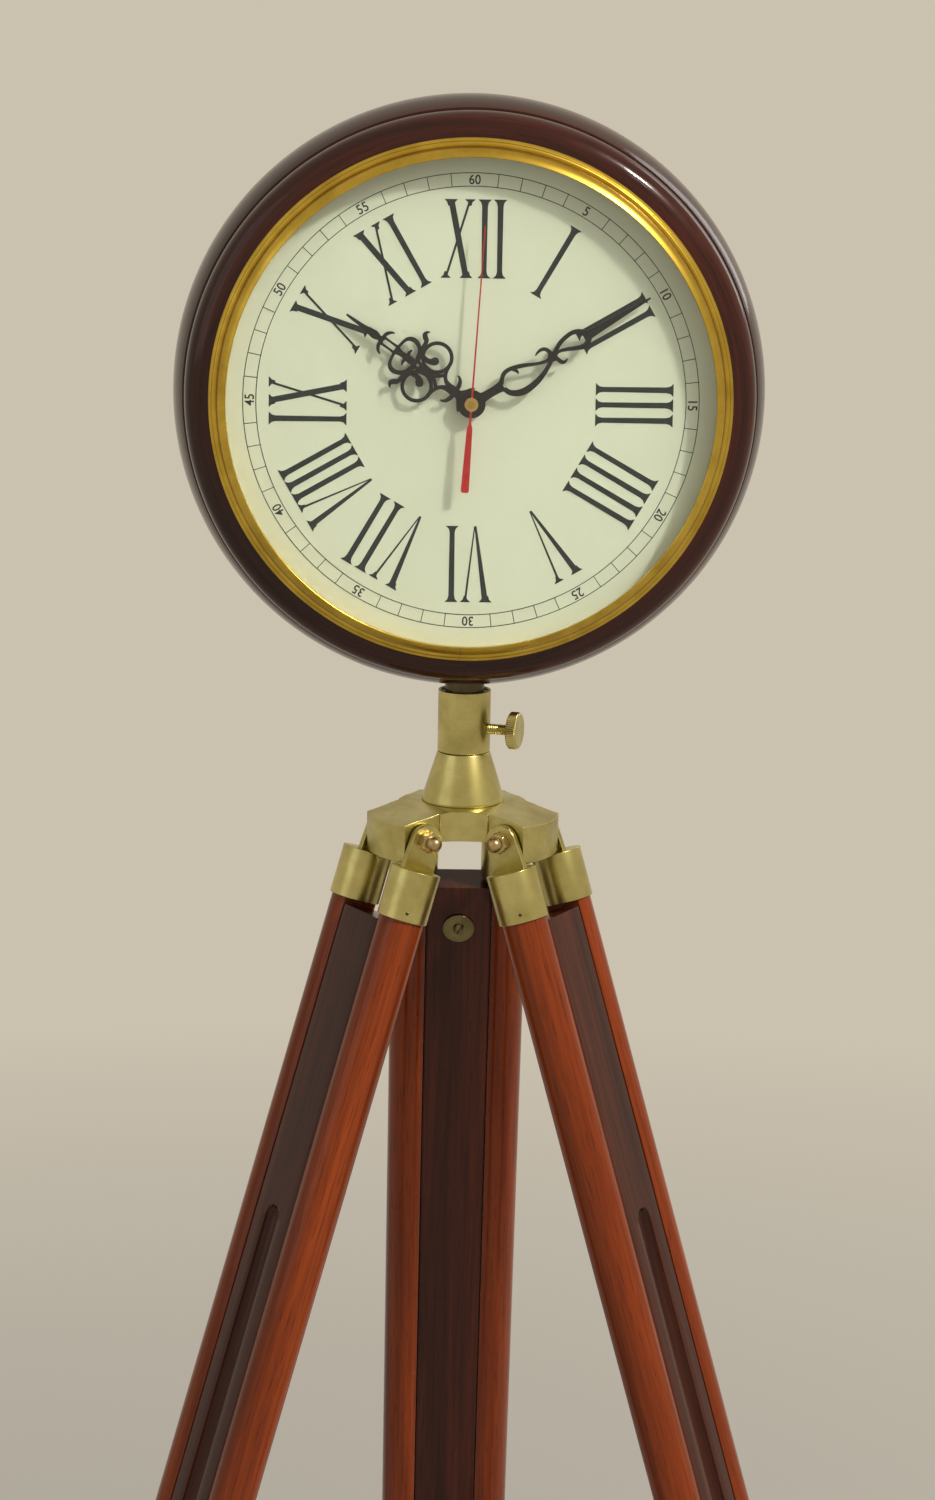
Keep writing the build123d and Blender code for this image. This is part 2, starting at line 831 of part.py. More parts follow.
movement_front = -dial_thickness - movement_standoff
movement_back = movement_front - movement_depth
cavity_front = movement_front - movement_wall
lid_front = movement_back + movement_wall
bay_middle = -movement_side / 2 + bay_wall + bay_height / 2
cavity_bottom = bay_middle + bay_height / 2 + bay_wall
cavity_top = movement_side / 2 - bay_wall
train_distance = gear_module * (cannon_teeth + minute_wheel_teeth) / 2
hour_wheel_front = cavity_front - ear_gap
hour_wheel_back = hour_wheel_front - wheel_thickness
minute_wheel_front = hour_wheel_back - wheel_gap
minute_wheel_back = minute_wheel_front - wheel_thickness
knob_back = movement_back - knob_setting_gap - knob_setting_thickness


def make_movement_case():
    """Plastic tub with the battery bay below, open to the back, and the threaded bush."""
    with BuildPart() as movement_case:
        with BuildSketch(dial_plane(movement_back)):
            Rectangle(movement_side, movement_side)
        extrude(amount=movement_depth)
        with BuildSketch(dial_plane(movement_front)):
            peg(bush_diameter)
        extrude(amount=bush_height - movement_front)
        with BuildSketch(dial_plane(movement_back)):
            with Locations((0, bay_middle)):
                Rectangle(bay_length, bay_height)
            with Locations((0, (cavity_bottom + cavity_top) / 2)):
                Rectangle(movement_side - 2 * bay_wall, cavity_top - cavity_bottom)
        extrude(amount=movement_depth - movement_wall, mode=Mode.SUBTRACT)
        with BuildSketch(dial_plane(cavity_front)):
            RegularPolygon(hour_pipe_diameter / 2 + fit, peg_sides, major_radius=False)
        extrude(amount=bush_height - cavity_front, mode=Mode.SUBTRACT)
    save(movement_case, "movement_case")


def make_movement_lid():
    """Lid over the wheels, with the seat of the seconds arbor and the hole of the setting arbor."""
    with BuildPart() as movement_lid:
        with BuildSketch(dial_plane(movement_back)):
            with Locations((0, (cavity_bottom + cavity_top) / 2)):
                Rectangle(movement_side - 2 * bay_wall - 2 * fit, cavity_top - cavity_bottom - 2 * fit)
            with Locations((0, train_distance)):
                peg_hole(wheel_arbor_diameter + 2 * fit)
        extrude(amount=movement_wall)
        with BuildSketch(dial_plane(lid_front)):
            peg(hour_pipe_diameter)
            peg_hole(second_arbor_diameter + 2 * fit)
        extrude(amount=wheel_thickness)
    save(movement_lid, "movement_lid")


def make_dial_nut():
    with BuildPart() as dial_nut:
        with BuildSketch(dial_plane(0)):
            RegularPolygon(dial_nut_flats / 2, 6, major_radius=False)
            peg_hole(bush_diameter)
        extrude(amount=dial_nut_height)
    save(dial_nut, "dial_nut")


def make_battery():
    middle = (cavity_front + movement_back) / 2
    centre = dial_plane(middle).from_local_coords((-battery_length / 2, bay_middle, 0))
    along = Plane(origin=centre, x_dir=front, z_dir=Axis.X.direction)
    with BuildPart() as battery:
        with BuildSketch(along):
            RegularPolygon(battery_diameter / 2, knob_sides)
        extrude(amount=battery_length - battery_nub_length)
        with BuildSketch(along.offset(battery_length - battery_nub_length)):
            peg(battery_nub_diameter)
        extrude(amount=battery_nub_length)
    save(battery, "battery")


def make_motor_coil():
    """Bobbin of the stepping motor, on the floor of the movement's tub."""
    height = cavity_front - coil_flange_diameter / 2
    start = dial_plane(height).from_local_coords((-coil_length / 2, coil_rise, 0))
    along = Plane(origin=start, x_dir=front, z_dir=Axis.X.direction)
    with BuildPart() as motor_coil:
        with BuildSketch(along):
            peg(coil_diameter)
        extrude(amount=coil_length)
        for end in (0, coil_length - coil_flange_thickness):
            with BuildSketch(along.offset(end)):
                Rectangle(coil_flange_diameter, coil_flange_diameter)
            extrude(amount=coil_flange_thickness)
    save(motor_coil, "motor_coil")


# Wheels


def gear_outline(teeth, first_angle):
    """Face of a small clock wheel: a root disc with straight-sided teeth, in a sketch."""
    pitch_radius = gear_module * teeth / 2
    root = pitch_radius - dedendum_share * gear_module
    tip = pitch_radius + addendum_share * gear_module
    RegularPolygon(root, teeth, rotation=first_angle)
    with PolarLocations(0, teeth, start_angle=first_angle):
        Polygon(
            (root * tooth_foot_share, -tooth_root_share * gear_module),
            (tip, -tooth_tip_share * gear_module),
            (tip, tooth_tip_share * gear_module),
            (root * tooth_foot_share, tooth_root_share * gear_module),
            align=None,
        )


def make_hour_wheel():
    """Wheel of the hour hand with its pipe, which reaches out through the bush."""
    pipe_end = hour_hand_height + hand_thickness
    with BuildPart() as hour_wheel:
        with BuildSketch(dial_plane(hour_wheel_back)):
            gear_outline(hour_wheel_teeth, 90)
        extrude(amount=wheel_thickness)
        with BuildSketch(dial_plane(hour_wheel_front)):
            peg(hour_pipe_diameter)
        extrude(amount=pipe_end - hour_wheel_front)
        with BuildSketch(dial_plane(hour_wheel_back)):
            RegularPolygon(minute_arbor_diameter / 2 + fit, peg_sides, major_radius=False)
        extrude(amount=pipe_end - hour_wheel_back, mode=Mode.SUBTRACT)
    save(hour_wheel, "hour_wheel")


def make_minute_arbor():
    """Cannon pinion of the minute hand, a tube that the seconds arbor runs in."""
    arbor_end = minute_hand_height + hand_thickness
    with BuildPart() as minute_arbor:
        with BuildSketch(dial_plane(minute_wheel_back)):
            gear_outline(cannon_teeth, 90)
        extrude(amount=wheel_thickness)
        with BuildSketch(dial_plane(minute_wheel_front)):
            peg(minute_arbor_diameter)
        extrude(amount=arbor_end - minute_wheel_front)
        with BuildSketch(dial_plane(minute_wheel_back)):
            RegularPolygon(second_arbor_diameter / 2 + fit, peg_sides, major_radius=False)
        extrude(amount=arbor_end - minute_wheel_back, mode=Mode.SUBTRACT)
    save(minute_arbor, "minute_arbor")


def make_minute_wheel():
    """Wheel and pinion between the two hands, on the arbor of the setting knob."""
    wheel_gap_angle = 270 + 180 / minute_wheel_teeth
    pinion_gap_angle = 270 + 180 / minute_pinion_teeth
    with BuildPart() as minute_wheel:
        with BuildSketch(dial_plane(minute_wheel_back)):
            with Locations((0, train_distance)):
                gear_outline(minute_wheel_teeth, wheel_gap_angle)
        extrude(amount=wheel_thickness)
        with BuildSketch(dial_plane(minute_wheel_front)):
            with Locations((0, train_distance)):
                gear_outline(minute_pinion_teeth, pinion_gap_angle)
        extrude(amount=hour_wheel_front - minute_wheel_front)
        with BuildSketch(dial_plane(knob_back + knob_setting_gap)):
            with Locations((0, train_distance)):
                Circle(wheel_arbor_diameter / 2)
        extrude(amount=minute_wheel_back - knob_back - knob_setting_gap)
    save(minute_wheel, "minute_wheel")


def make_setting_knob():
    with BuildPart() as setting_knob:
        with BuildSketch(dial_plane(knob_back)):
            with Locations((0, train_distance)):
                RegularPolygon(knob_setting_diameter / 2, knob_sides)
        extrude(amount=knob_setting_thickness)
        with BuildSketch(dial_plane(knob_back + knob_setting_gap)):
            with Locations((0, train_distance)):
                RegularPolygon(wheel_arbor_diameter / 2, peg_sides, major_radius=False)
        extrude(amount=knob_setting_thickness, mode=Mode.SUBTRACT)
    save(setting_knob, "setting_knob")


def make_second_arbor():
    cap = second_hand_height + hand_thickness
    with BuildPart() as second_arbor:
        with BuildSketch(dial_plane(lid_front)):
            peg(second_arbor_diameter)
        extrude(amount=pin_height - lid_front)
        with BuildSketch(dial_plane(cap)):
            peg(pin_cap_diameter)
        extrude(amount=pin_height - cap)
    save(second_arbor, "second_arbor")


# Hands. Every place and width is a share of the hand's length, across it and along it.

hour_body_shares = (
    (0.028, 0.060), (0.018, 0.150), (0.030, 0.212), (0.052, 0.263), (0.034, 0.312),
    (0.020, 0.368), (0.036, 0.434), (0.026, 0.480), (0.034, 0.530), (0.028, 0.590),
    (0.024, 0.612), (0.024, 0.716), (0.012, 0.736), (0.025, 0.768), (0.010, 0.845),
    (0.018, 0.884), (0.006, 1.000),
)
hour_stroke_shares = (
    ((0.020, 0.235), (0.053, 0.165), (0.106, 0.186), 0.020),
    ((0.020, 0.250), (0.062, 0.268), (0.100, 0.222), 0.014),
    ((0.024, 0.446), (0.042, 0.385), (0.078, 0.345), 0.020),
    ((0.178, 0.410), (0.182, 0.462), (0.200, 0.520), 0.026),
    ((0.024, 0.585), (0.050, 0.552), (0.040, 0.520), 0.018),
    ((0.000, 0.728), (0.056, 0.744), (0.086, 0.682), 0.022),
)
hour_ring_shares = (
    ((0.117, 0.361), 0.095, 0.078),
    ((0.061, 0.535), 0.066, 0.050),
)
hour_ball_share = ((0.088, 0.350), 0.024)
hour_bar_share = (0.062, 0.012, 0.850)
hour_diamond_share = (0.034, 0.263)
hour_eye_share = (0.015, 0.434)
hour_slot_share = (0.024, 0.088, 0.664)
minute_neck_shares = ((0.022, 0.050), (0.018, 0.112), (0.014, 0.180))
minute_stroke_shares = (
    ((0.000, 0.168), (-0.047, 0.187), (-0.060, 0.258), 0.019),
    ((-0.062, 0.222), (-0.036, 0.320), (-0.004, 0.446), 0.017),
    ((-0.062, 0.210), (-0.052, 0.254), (-0.022, 0.266), 0.018),
    ((0.000, 0.168), (0.057, 0.190), (0.083, 0.264), 0.021),
    ((0.081, 0.232), (0.066, 0.342), (0.002, 0.444), 0.027),
    ((-0.012, 0.440), (-0.060, 0.417), (-0.053, 0.378), 0.019),
    ((0.004, 0.442), (0.042, 0.458), (0.034, 0.497), 0.019),
    ((-0.006, 0.436), (-0.054, 0.514), (-0.062, 0.596), 0.018),
    ((-0.064, 0.560), (-0.050, 0.616), (-0.008, 0.656), 0.020),
    ((-0.012, 0.440), (-0.007, 0.518), (0.018, 0.590), 0.016),
    ((0.014, 0.566), (0.023, 0.620), (-0.002, 0.654), 0.017),
)
minute_knot_share = ((-0.006, 0.441), 0.020)
minute_blade_shares = (
    (0.000, 0.614), (-0.034, 0.628), (-0.026, 0.650), (-0.020, 0.680), (-0.004, 1.000),
    (0.003, 1.000), (0.014, 0.680), (0.018, 0.650), (0.020, 0.636),
)
second_needle_share = 0.0055
second_tip_share = 0.0030
second_paddle_shares = ((0.007, 0.22), (0.016, 0.27), (0.023, 0.98), (0.016, 1.00))


def bow(start, middle, end):
    """Corners along the arc through three points, without the last one."""
    arc = Edge.make_three_point_arc(start, middle, end)
    return [arc.position_at(step / bow_steps) for step in range(bow_steps)]


def strokes(shares, length, flip=1):
    """Outlines of curved strokes that are widest in the middle and pointed at both ends."""
    found = []
    for start, middle, end, width in shares:
        points = [Vector(flip * across, along) * length for across, along in (start, middle, end)]
        chord = (points[2] - points[0]).normalized()
        swell = Vector(-chord.Y, chord.X) * (width * length / 2)
        there = bow(points[0], points[1] + swell, points[2])
        back = bow(points[2], points[1] - swell, points[0])
        found.append([(point.X, point.Y) for point in there + back])
    return found


def scaled(shares, length, flip=1):
    """Places given as shares, as real places for a hand of this length."""
    return [(flip * across * length, along * length) for across, along in shares]


def make_hour_hand():
    """Pierced hand: scrolled rings, a slotted neck and a spear point."""
    length = hour_hand_length
    with BuildPart() as hour_hand:
        with BuildSketch(dial_plane(hour_hand_height, hour_hand_angle)):
            # The rings come first, because their holes would cut what crosses them
            for flip in (-1, 1):
                for (across, along), outer, inner in hour_ring_shares:
                    with Locations((flip * across * length, along * length)):
                        RegularPolygon(outer * length, ring_sides)
                        RegularPolygon(inner * length, ring_sides, mode=Mode.SUBTRACT)
            for flip in (-1, 1):
                for outline in strokes(hour_stroke_shares, length, flip):
                    with BuildLine():
                        Polyline(*outline, close=True)
                    make_face()
                (across, along), radius = hour_ball_share
                with Locations((flip * across * length, along * length)):
                    RegularPolygon(radius * length, peg_sides)
            right = scaled(hour_body_shares, length)
            left = scaled(hour_body_shares, length, flip=-1)
            with BuildLine():
                Polyline(*right, *reversed(left), close=True)
            make_face()
            with Locations((0, hour_bar_share[2] * length)):
                Rectangle(hour_bar_share[0] * length, hour_bar_share[1] * length)
            RegularPolygon(hand_hub_diameter / 2, tube_sides)
            # Piercings
            with Locations((0, hour_diamond_share[1] * length)):
                RegularPolygon(hour_diamond_share[0] * length, 4, mode=Mode.SUBTRACT)
            with Locations((0, hour_eye_share[1] * length)):
                RegularPolygon(hour_eye_share[0] * length, peg_sides, mode=Mode.SUBTRACT)
            with Locations((0, hour_slot_share[2] * length)):
                Rectangle(hour_slot_share[0] * length, hour_slot_share[1] * length, mode=Mode.SUBTRACT)
            peg_hole(hour_pipe_diameter)
        extrude(amount=hand_thickness)
    save(hour_hand, "hour_hand")


def make_minute_hand():
    """Serpentine hand: two open loops that cross at a knot, then a long blade."""
    length = minute_hand_length
    with BuildPart() as minute_hand:
        with BuildSketch(dial_plane(minute_hand_height, minute_hand_angle)):
            RegularPolygon(hand_hub_diameter / 2, tube_sides)
            neck = scaled(minute_neck_shares, length)
            with BuildLine():
                Polyline(*neck, *reversed(scaled(minute_neck_shares, length, flip=-1)), close=True)
            make_face()
            for outline in strokes(minute_stroke_shares, length):
                with BuildLine():
                    Polyline(*outline, close=True)
                make_face()
            (across, along), radius = minute_knot_share
            with Locations((across * length, along * length)):
                RegularPolygon(radius * length, ring_sides)
            with BuildLine():
                Polyline(*scaled(minute_blade_shares, length), close=True)
            make_face()
            peg_hole(minute_arbor_diameter)
        extrude(amount=hand_thickness)
    save(minute_hand, "minute_hand")


def make_second_hand():
    """Thin needle with a paddle on its tail."""
    length = second_hand_length
    root = second_needle_share * length
    tip = second_tip_share * length
    with BuildPart() as second_hand:
        with BuildSketch(dial_plane(second_hand_height, second_hand_angle)):
            RegularPolygon(second_hub_diameter / 2, ring_sides)
            with BuildLine():
                Polyline((-root, 0), (-tip, length), (tip, length), (root, 0), close=True)
            make_face()
            paddle = [
                (across * length, -along * second_tail_length)
                for across, along in second_paddle_shares
            ]
            mirrored = [(-across, along) for across, along in reversed(paddle)]
            with BuildLine():
                Polyline((root, 0), *paddle, *mirrored, (-root, 0), close=True)
            make_face()
            peg_hole(second_arbor_diameter)
        extrude(amount=hand_thickness)
    save(second_hand, "second_hand")


# The whole clock

make_hub()
make_column_bolt()
make_cone()
make_sleeve()
neck_tip = neck_diameter / 2 + seat_gap
make_thumb_screw("neck_thumb_screw", thumb_plane(neck_tip), sleeve_diameter / 2 - neck_tip + screw_show)
make_pivot_studs()
make_acorn_nuts()
for leg_name, leg_direction in leg_directions.items():
    leg_frame = leg_plane(leg_direction)
    for side_name, leg_side in (("left", -1), ("right", 1)):
        make_ferrule(f"{leg_name}_leg_{side_name}_ferrule", leg_frame, leg_side)
        make_rail(f"{leg_name}_leg_{side_name}_rail", leg_frame, leg_side)
    make_clamp(f"{leg_name}_leg_clamp", leg_frame)
    make_clamp_screw(f"{leg_name}_leg_clamp_screw", leg_frame)
    make_board(f"{leg_name}_leg_board", leg_frame)
    make_board_screws(f"{leg_name}_leg_board_screws", leg_frame)
    make_shoe(f"{leg_name}_leg_shoe", leg_frame)
make_neck()
make_neck_screw()
make_case_ring()
make_bezel()
make_glass()
make_glass_clips()
make_dial()
make_dial_nut()
make_movement_case()
make_movement_lid()
make_battery()
make_motor_coil()
make_hour_wheel()
make_minute_arbor()
make_minute_wheel()
make_setting_knob()
make_second_arbor()
make_hour_hand()
make_minute_hand()
make_second_hand()
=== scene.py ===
# %% [markdown]
# A floor clock on a folding tripod: a turned mahogany case with a brass bezel, on three legs
# of round rails and sliding boards, joined by a brass hub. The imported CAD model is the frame.
# It says where everything is, so each piece below is made in its own place, and the looks
# are built round it. Lengths are written in millimetres times MM, because Blender works in
# metres.
# %% Open the frame and measure it
import json
import math

import bmesh
import bpy
import numpy as np
from mathutils import Matrix, Vector

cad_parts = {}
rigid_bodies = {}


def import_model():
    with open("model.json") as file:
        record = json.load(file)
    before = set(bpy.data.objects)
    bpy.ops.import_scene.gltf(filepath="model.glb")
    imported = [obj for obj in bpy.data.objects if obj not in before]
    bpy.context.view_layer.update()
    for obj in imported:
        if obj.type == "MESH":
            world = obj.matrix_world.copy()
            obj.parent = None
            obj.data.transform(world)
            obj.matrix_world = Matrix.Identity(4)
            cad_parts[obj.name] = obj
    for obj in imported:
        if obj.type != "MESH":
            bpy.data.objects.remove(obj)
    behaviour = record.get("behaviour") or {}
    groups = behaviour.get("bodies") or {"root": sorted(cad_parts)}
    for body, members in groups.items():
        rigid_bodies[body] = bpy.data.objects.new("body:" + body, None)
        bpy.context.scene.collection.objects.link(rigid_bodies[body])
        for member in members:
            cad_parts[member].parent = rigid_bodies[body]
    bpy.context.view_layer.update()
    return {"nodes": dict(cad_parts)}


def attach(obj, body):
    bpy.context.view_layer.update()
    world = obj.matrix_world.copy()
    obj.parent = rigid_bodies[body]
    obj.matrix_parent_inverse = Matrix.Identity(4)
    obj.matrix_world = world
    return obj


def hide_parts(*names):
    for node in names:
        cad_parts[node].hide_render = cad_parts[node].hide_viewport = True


MM = 0.001
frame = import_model()
nodes = frame["nodes"]

# %% [markdown]
# Every fitting of the clock belongs to one of a few centre lines: the column, the dial's
# axis, the three legs and the screws. A place is easiest to think about in a frame that
# stands on such a line, so each one becomes an origin with three directions. The numbers are
# those that the clock was drawn with: legs that lean out 18 degrees, pivots 36.5 mm from the
# column and 833.3 mm above the floor, and a leg's middle line 2.5 mm outside its pivot.
# %% Centre lines of the column, the dial and the legs
LEAN = math.radians(18.0)
PIVOT_OUT, LEG_OFFSET = 36.5, 2.5


def centre_line(origin, across, along):
    """Origin and three directions: x is across, z is along, and y is z cross x."""
    across, along = np.asarray(across, float), np.asarray(along, float)
    return np.asarray(origin, float), np.stack([across, np.cross(along, across), along])


def on(line, local):
    """Points given in a centre line's frame, as points in the clock's own frame."""
    origin, directions = line
    return origin + np.asarray(local, float) @ directions


UP = np.array([0.0, 0.0, 1.0])
ACROSS = np.array([1.0, 0.0, 0.0])
FRONT = np.array([0.0, -1.0, 0.0])
pivot_centre = np.array([0, -68.725, 833.304]) * MM
dial_centre = np.array([0, -104.725, 1066.704]) * MM
column = centre_line(pivot_centre, ACROSS, UP)
dial_axis = centre_line(dial_centre, ACROSS, FRONT)

legs = {}
for leg_name, bearing in (("left_leg", 210.0), ("right_leg", 330.0), ("rear_leg", 90.0)):
    turn = math.radians(bearing)
    out = np.array([math.cos(turn), math.sin(turn), 0.0])
    sideways = np.array([-out[1], out[0], 0.0])
    down = out * math.sin(LEAN) - UP * math.cos(LEAN)
    outward = out * math.cos(LEAN) + UP * math.sin(LEAN)
    top = pivot_centre + out * PIVOT_OUT * MM + outward * LEG_OFFSET * MM
    legs[leg_name] = centre_line(top, sideways, down)
print("legs:", {name: [round(float(v), 4) for v in line[0]] for name, line in legs.items()})

# %% [markdown]
# All the new surfaces are grids: rows go along a piece and columns go once round it. A lathe
# piece is such a grid, and so are a rail, a thread and a knurled knob. One function joins the
# grid's points with quads, and one puts the result into a mesh. Between the two it is called
# a shell, which is four arrays: the points, the faces' corners one after the other, the number
# of corners of each face, and a place for each corner that is called grain. The grain's x runs
# along the wood's fibres or the metal's brush lines, so that a finish can follow the piece
# wherever it leans.
# %% From grids of points to a mesh


def skin(grid, grain=None, loop=False):
    """Shell over a grid of points, rows by columns, whose columns close into a ring.

    Face (i, j) joins points (i, j), (i, j+1), (i+1, j+1) and (i+1, j). The ends get one flat
    face each, unless the rows close into a loop too. Grain has one column more than the grid,
    so that a pattern can run on to the seam.
    """
    rows, columns = grid.shape[:2]
    if grain is None:
        grain = np.concatenate([grid[..., [2, 0, 1]], grid[:, :1, [2, 0, 1]]], axis=1)
    counted = np.arange(rows if loop else rows - 1), np.arange(columns)
    row, step = np.meshgrid(*counted, indexing="ij")
    rows_of = np.stack([row, row, row + 1, row + 1], axis=-1).reshape(-1) % rows
    columns_of = np.stack([step, step + 1, step + 1, step], axis=-1).reshape(-1)
    corners = [rows_of * columns + columns_of % columns]
    tags = [grain[rows_of, columns_of]]
    sizes = [np.full(row.size, 4)]
    if not loop:
        ring = np.arange(columns)
        corners += [ring[::-1], ring + (rows - 1) * columns]
        tags += [grain[0, ring[::-1]], grain[-1, ring]]
        sizes += [np.array([columns, columns])]
    joined = (np.concatenate(part) for part in (corners, sizes, tags))
    return grid.reshape(-1, 3), *joined


def put_together(shells):
    """One shell from several: their arrays end to end, with the corner numbers moved up."""
    points, corners, sizes, tags = zip(*shells)
    counts = np.cumsum([0] + [len(part) for part in points[:-1]])
    raised = [part + count for part, count in zip(corners, counts)]
    return tuple(np.concatenate(part) for part in (points, raised, sizes, tags))


def reshaped(shell, change):
    """The same shell with its points sent through a function, its grain left as it was."""
    points, corners, sizes, tags = shell
    return change(points), corners, sizes, tags


def point_outwards(mesh):
    """Turns every face of the closed shells outwards."""
    work = bmesh.new()
    work.from_mesh(mesh)
    bmesh.ops.recalc_face_normals(work, faces=work.faces)
    work.to_mesh(mesh)
    work.free()


def smooth(mesh, crease):
    """Smooth shading that stays crisp at edges sharper than the crease, in degrees."""
    mesh.shade_smooth()
    mesh.set_sharp_from_angle(angle=math.radians(crease))


def make_piece(name, shells, line, body, replaces=(), crease=32):
    """Puts shells into one mesh on a centre line, hangs it on its body and hides the CAD nodes it
    stands for.
    """
    points, corners, sizes, tags = put_together(shells)
    placed = on(line, points)
    mesh = bpy.data.meshes.new(name)
    mesh.vertices.add(len(placed))
    mesh.vertices.foreach_set("co", placed.astype(np.float32).ravel())
    mesh.loops.add(len(corners))
    mesh.loops.foreach_set("vertex_index", corners.astype(np.int32))
    mesh.polygons.add(len(sizes))
    starts = np.concatenate([[0], np.cumsum(sizes)[:-1]])
    mesh.polygons.foreach_set("loop_start", starts.astype(np.int32))
    mesh.update(calc_edges=True)
    grain = mesh.attributes.new("grain", "FLOAT_VECTOR", "CORNER")
    grain.data.foreach_set("vector", tags.astype(np.float32).ravel())
    point_outwards(mesh)
    smooth(mesh, crease)
    piece = bpy.data.objects.new(name, mesh)
    bpy.context.collection.objects.link(piece)
    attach(piece, body)
    if replaces:
        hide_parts(*replaces)
    return piece


small_ring = np.zeros((3, 8, 3))
print("faces of a tube of 3 rows and 8 columns:", len(skin(small_ring)[2]))

# %% [markdown]
# Turned pieces start from a profile, a list of radii and heights. Real edges are never razor
# sharp: a lathe tool or a buffing wheel takes them off, and the small round is what catches
# the light. So each corner of a profile is replaced by a short parabola.
# %% Profiles and lathe pieces
SEAM_BELOW, SEAM_BEHIND = -math.pi / 2, math.pi / 2


def eased(corners, radius, steps=4, loop=False):
    """Profile with rounded corners.

    At corner B the curve is (1-t)^2 A + 2t(1-t) B + t^2 C, with A and C on the two sides at
    the distance radius, or at 45% of a side that is short.
    """
    corner = np.asarray(corners, float)
    offsets = []
    for neighbour in (np.roll(corner, 1, axis=0), np.roll(corner, -1, axis=0)):
        side = neighbour - corner
        length = np.maximum(np.linalg.norm(side, axis=1, keepdims=True), 1e-12)
        offsets.append(corner + side / length * np.minimum(radius, 0.45 * length))
    before, after = offsets
    t = np.linspace(0, 1, steps + 1)[None, :, None]
    curve = (1 - t) ** 2 * before[:, None] + 2 * t * (1 - t) * corner[:, None]
    curve += t**2 * after[:, None]
    if loop:
        return curve.reshape(-1, 2)
    return np.concatenate([corner[:1], curve[1:-1].reshape(-1, 2), corner[-1:]])


def bowed(start, end, rise, steps):
    """Points on a bow: start + chord t + normal 4 rise t (1-t), for t from 0 to 1."""
    start, end = np.asarray(start, float), np.asarray(end, float)
    chord = end - start
    normal = np.array([-chord[1], chord[0]]) / np.linalg.norm(chord)
    t = np.linspace(0, 1, steps + 1)[:, None]
    return start + chord * t + normal * 4 * rise * t * (1 - t)


def turned(profile, sides=96, loop=False, seam=0.0, radius_change=None):
    """Lathe shell: point (i, j) has radius r_i and height h_i of the profile, at angle a_j.

    A radius_change array is added to the radii, for knurls, threads and hexagons. The grain
    runs round the piece: x is the largest radius times the angle, y the radius, z the height.
    """
    profile = np.asarray(profile, float) * MM
    angle = seam + np.linspace(0, 2 * math.pi, sides + 1)
    radius = np.repeat(profile[:, :1], sides + 1, axis=1)
    if radius_change is not None:
        radius = radius + np.concatenate([radius_change, radius_change[:, :1]], axis=1) * MM
    height = np.repeat(profile[:, 1:], sides + 1, axis=1)
    grid = np.stack([radius * np.cos(angle), radius * np.sin(angle), height], axis=-1)
    around = np.abs(profile[:, 0]).max() * (angle - seam) + 0 * radius
    grain = np.stack([around, radius, height], axis=-1)
    return skin(grid[:, :-1], grain, loop)


def moved(shell, offset):
    """The same shell shifted by an offset in millimetres, its grain shifted with it."""
    points, corners, sizes, tags = shell
    offset = np.asarray(offset, float) * MM
    return points + offset, corners, sizes, tags + offset[[2, 0, 1]]


square = [(0, 0), (1, 0), (1, 1), (0, 1)]
print("points of a square once its corners are eased:", len(eased(square, 0.2, loop=True)))

# %% [markdown]
# The case is a ring of mahogany, turned on a faceplate lathe: a roll on the front beside the
# bezel, a small step, and a side that swells like a barrel. Its back is open. One closed
# profile carried round the dial's axis gives it exactly. The seam of the pattern is put at
# the bottom, behind the neck.
# %% The turned case
case_profile = np.concatenate(
    [
        [(122.0, -69.6), (122.0, -1.6), (136.3, -1.6)],
        bowed((136.3, -1.6), (149.4, -17.0), 5.0, 22)[1:-1],
        [(149.4, -17.0), (149.65, -17.5), (150.5, -17.5)],
        bowed((150.8, -17.8), (150.8, -69.6), 5.7, 26)[1:-1],
        [(150.3, -70.0), (122.4, -70.0)],
    ]
)
case = make_piece(
    "turned_case",
    [turned(case_profile, 192, loop=True, seam=SEAM_BELOW)],
    dial_axis,
    "clock_head",
    ["case_ring"],
    crease=40,
)
print("case profile points:", len(case_profile), "faces:", len(case.data.polygons))

# %% [markdown]
# The bezel is spun from sheet brass over a former: a flat lip on the wood, a small bead, a
# dark groove and a high main roll that ends in a thin bright edge round the glass. The
# profile bends through all of them, and the wall behind the roll holds the glass.
# %% The spun bezel
bezel_profile = np.concatenate(
    [
        [(136.2, -1.5), (136.2, 0.2), (135.9, 0.55), (134.9, 0.8)],
        bowed((134.7, 0.9), (132.2, 3.0), -1.0, 8),
        [(131.9, 2.6), (131.6, 2.9)],
        bowed((131.5, 3.2), (127.5, 12.3), -1.9, 16),
        [(127.1, 12.6), (126.85, 12.4), (126.8, 11.6), (126.8, 10.25)],
        [(128.95, 10.25), (128.95, -1.5)],
    ]
)
bezel = make_piece(
    "spun_bezel",
    [turned(bezel_profile, 192, loop=True, seam=SEAM_BELOW - 0.03)],
    dial_axis,
    "clock_head",
    ["bezel"],
    crease=30,
)
print("bezel profile points:", len(bezel_profile), "faces:", len(bezel.data.polygons))

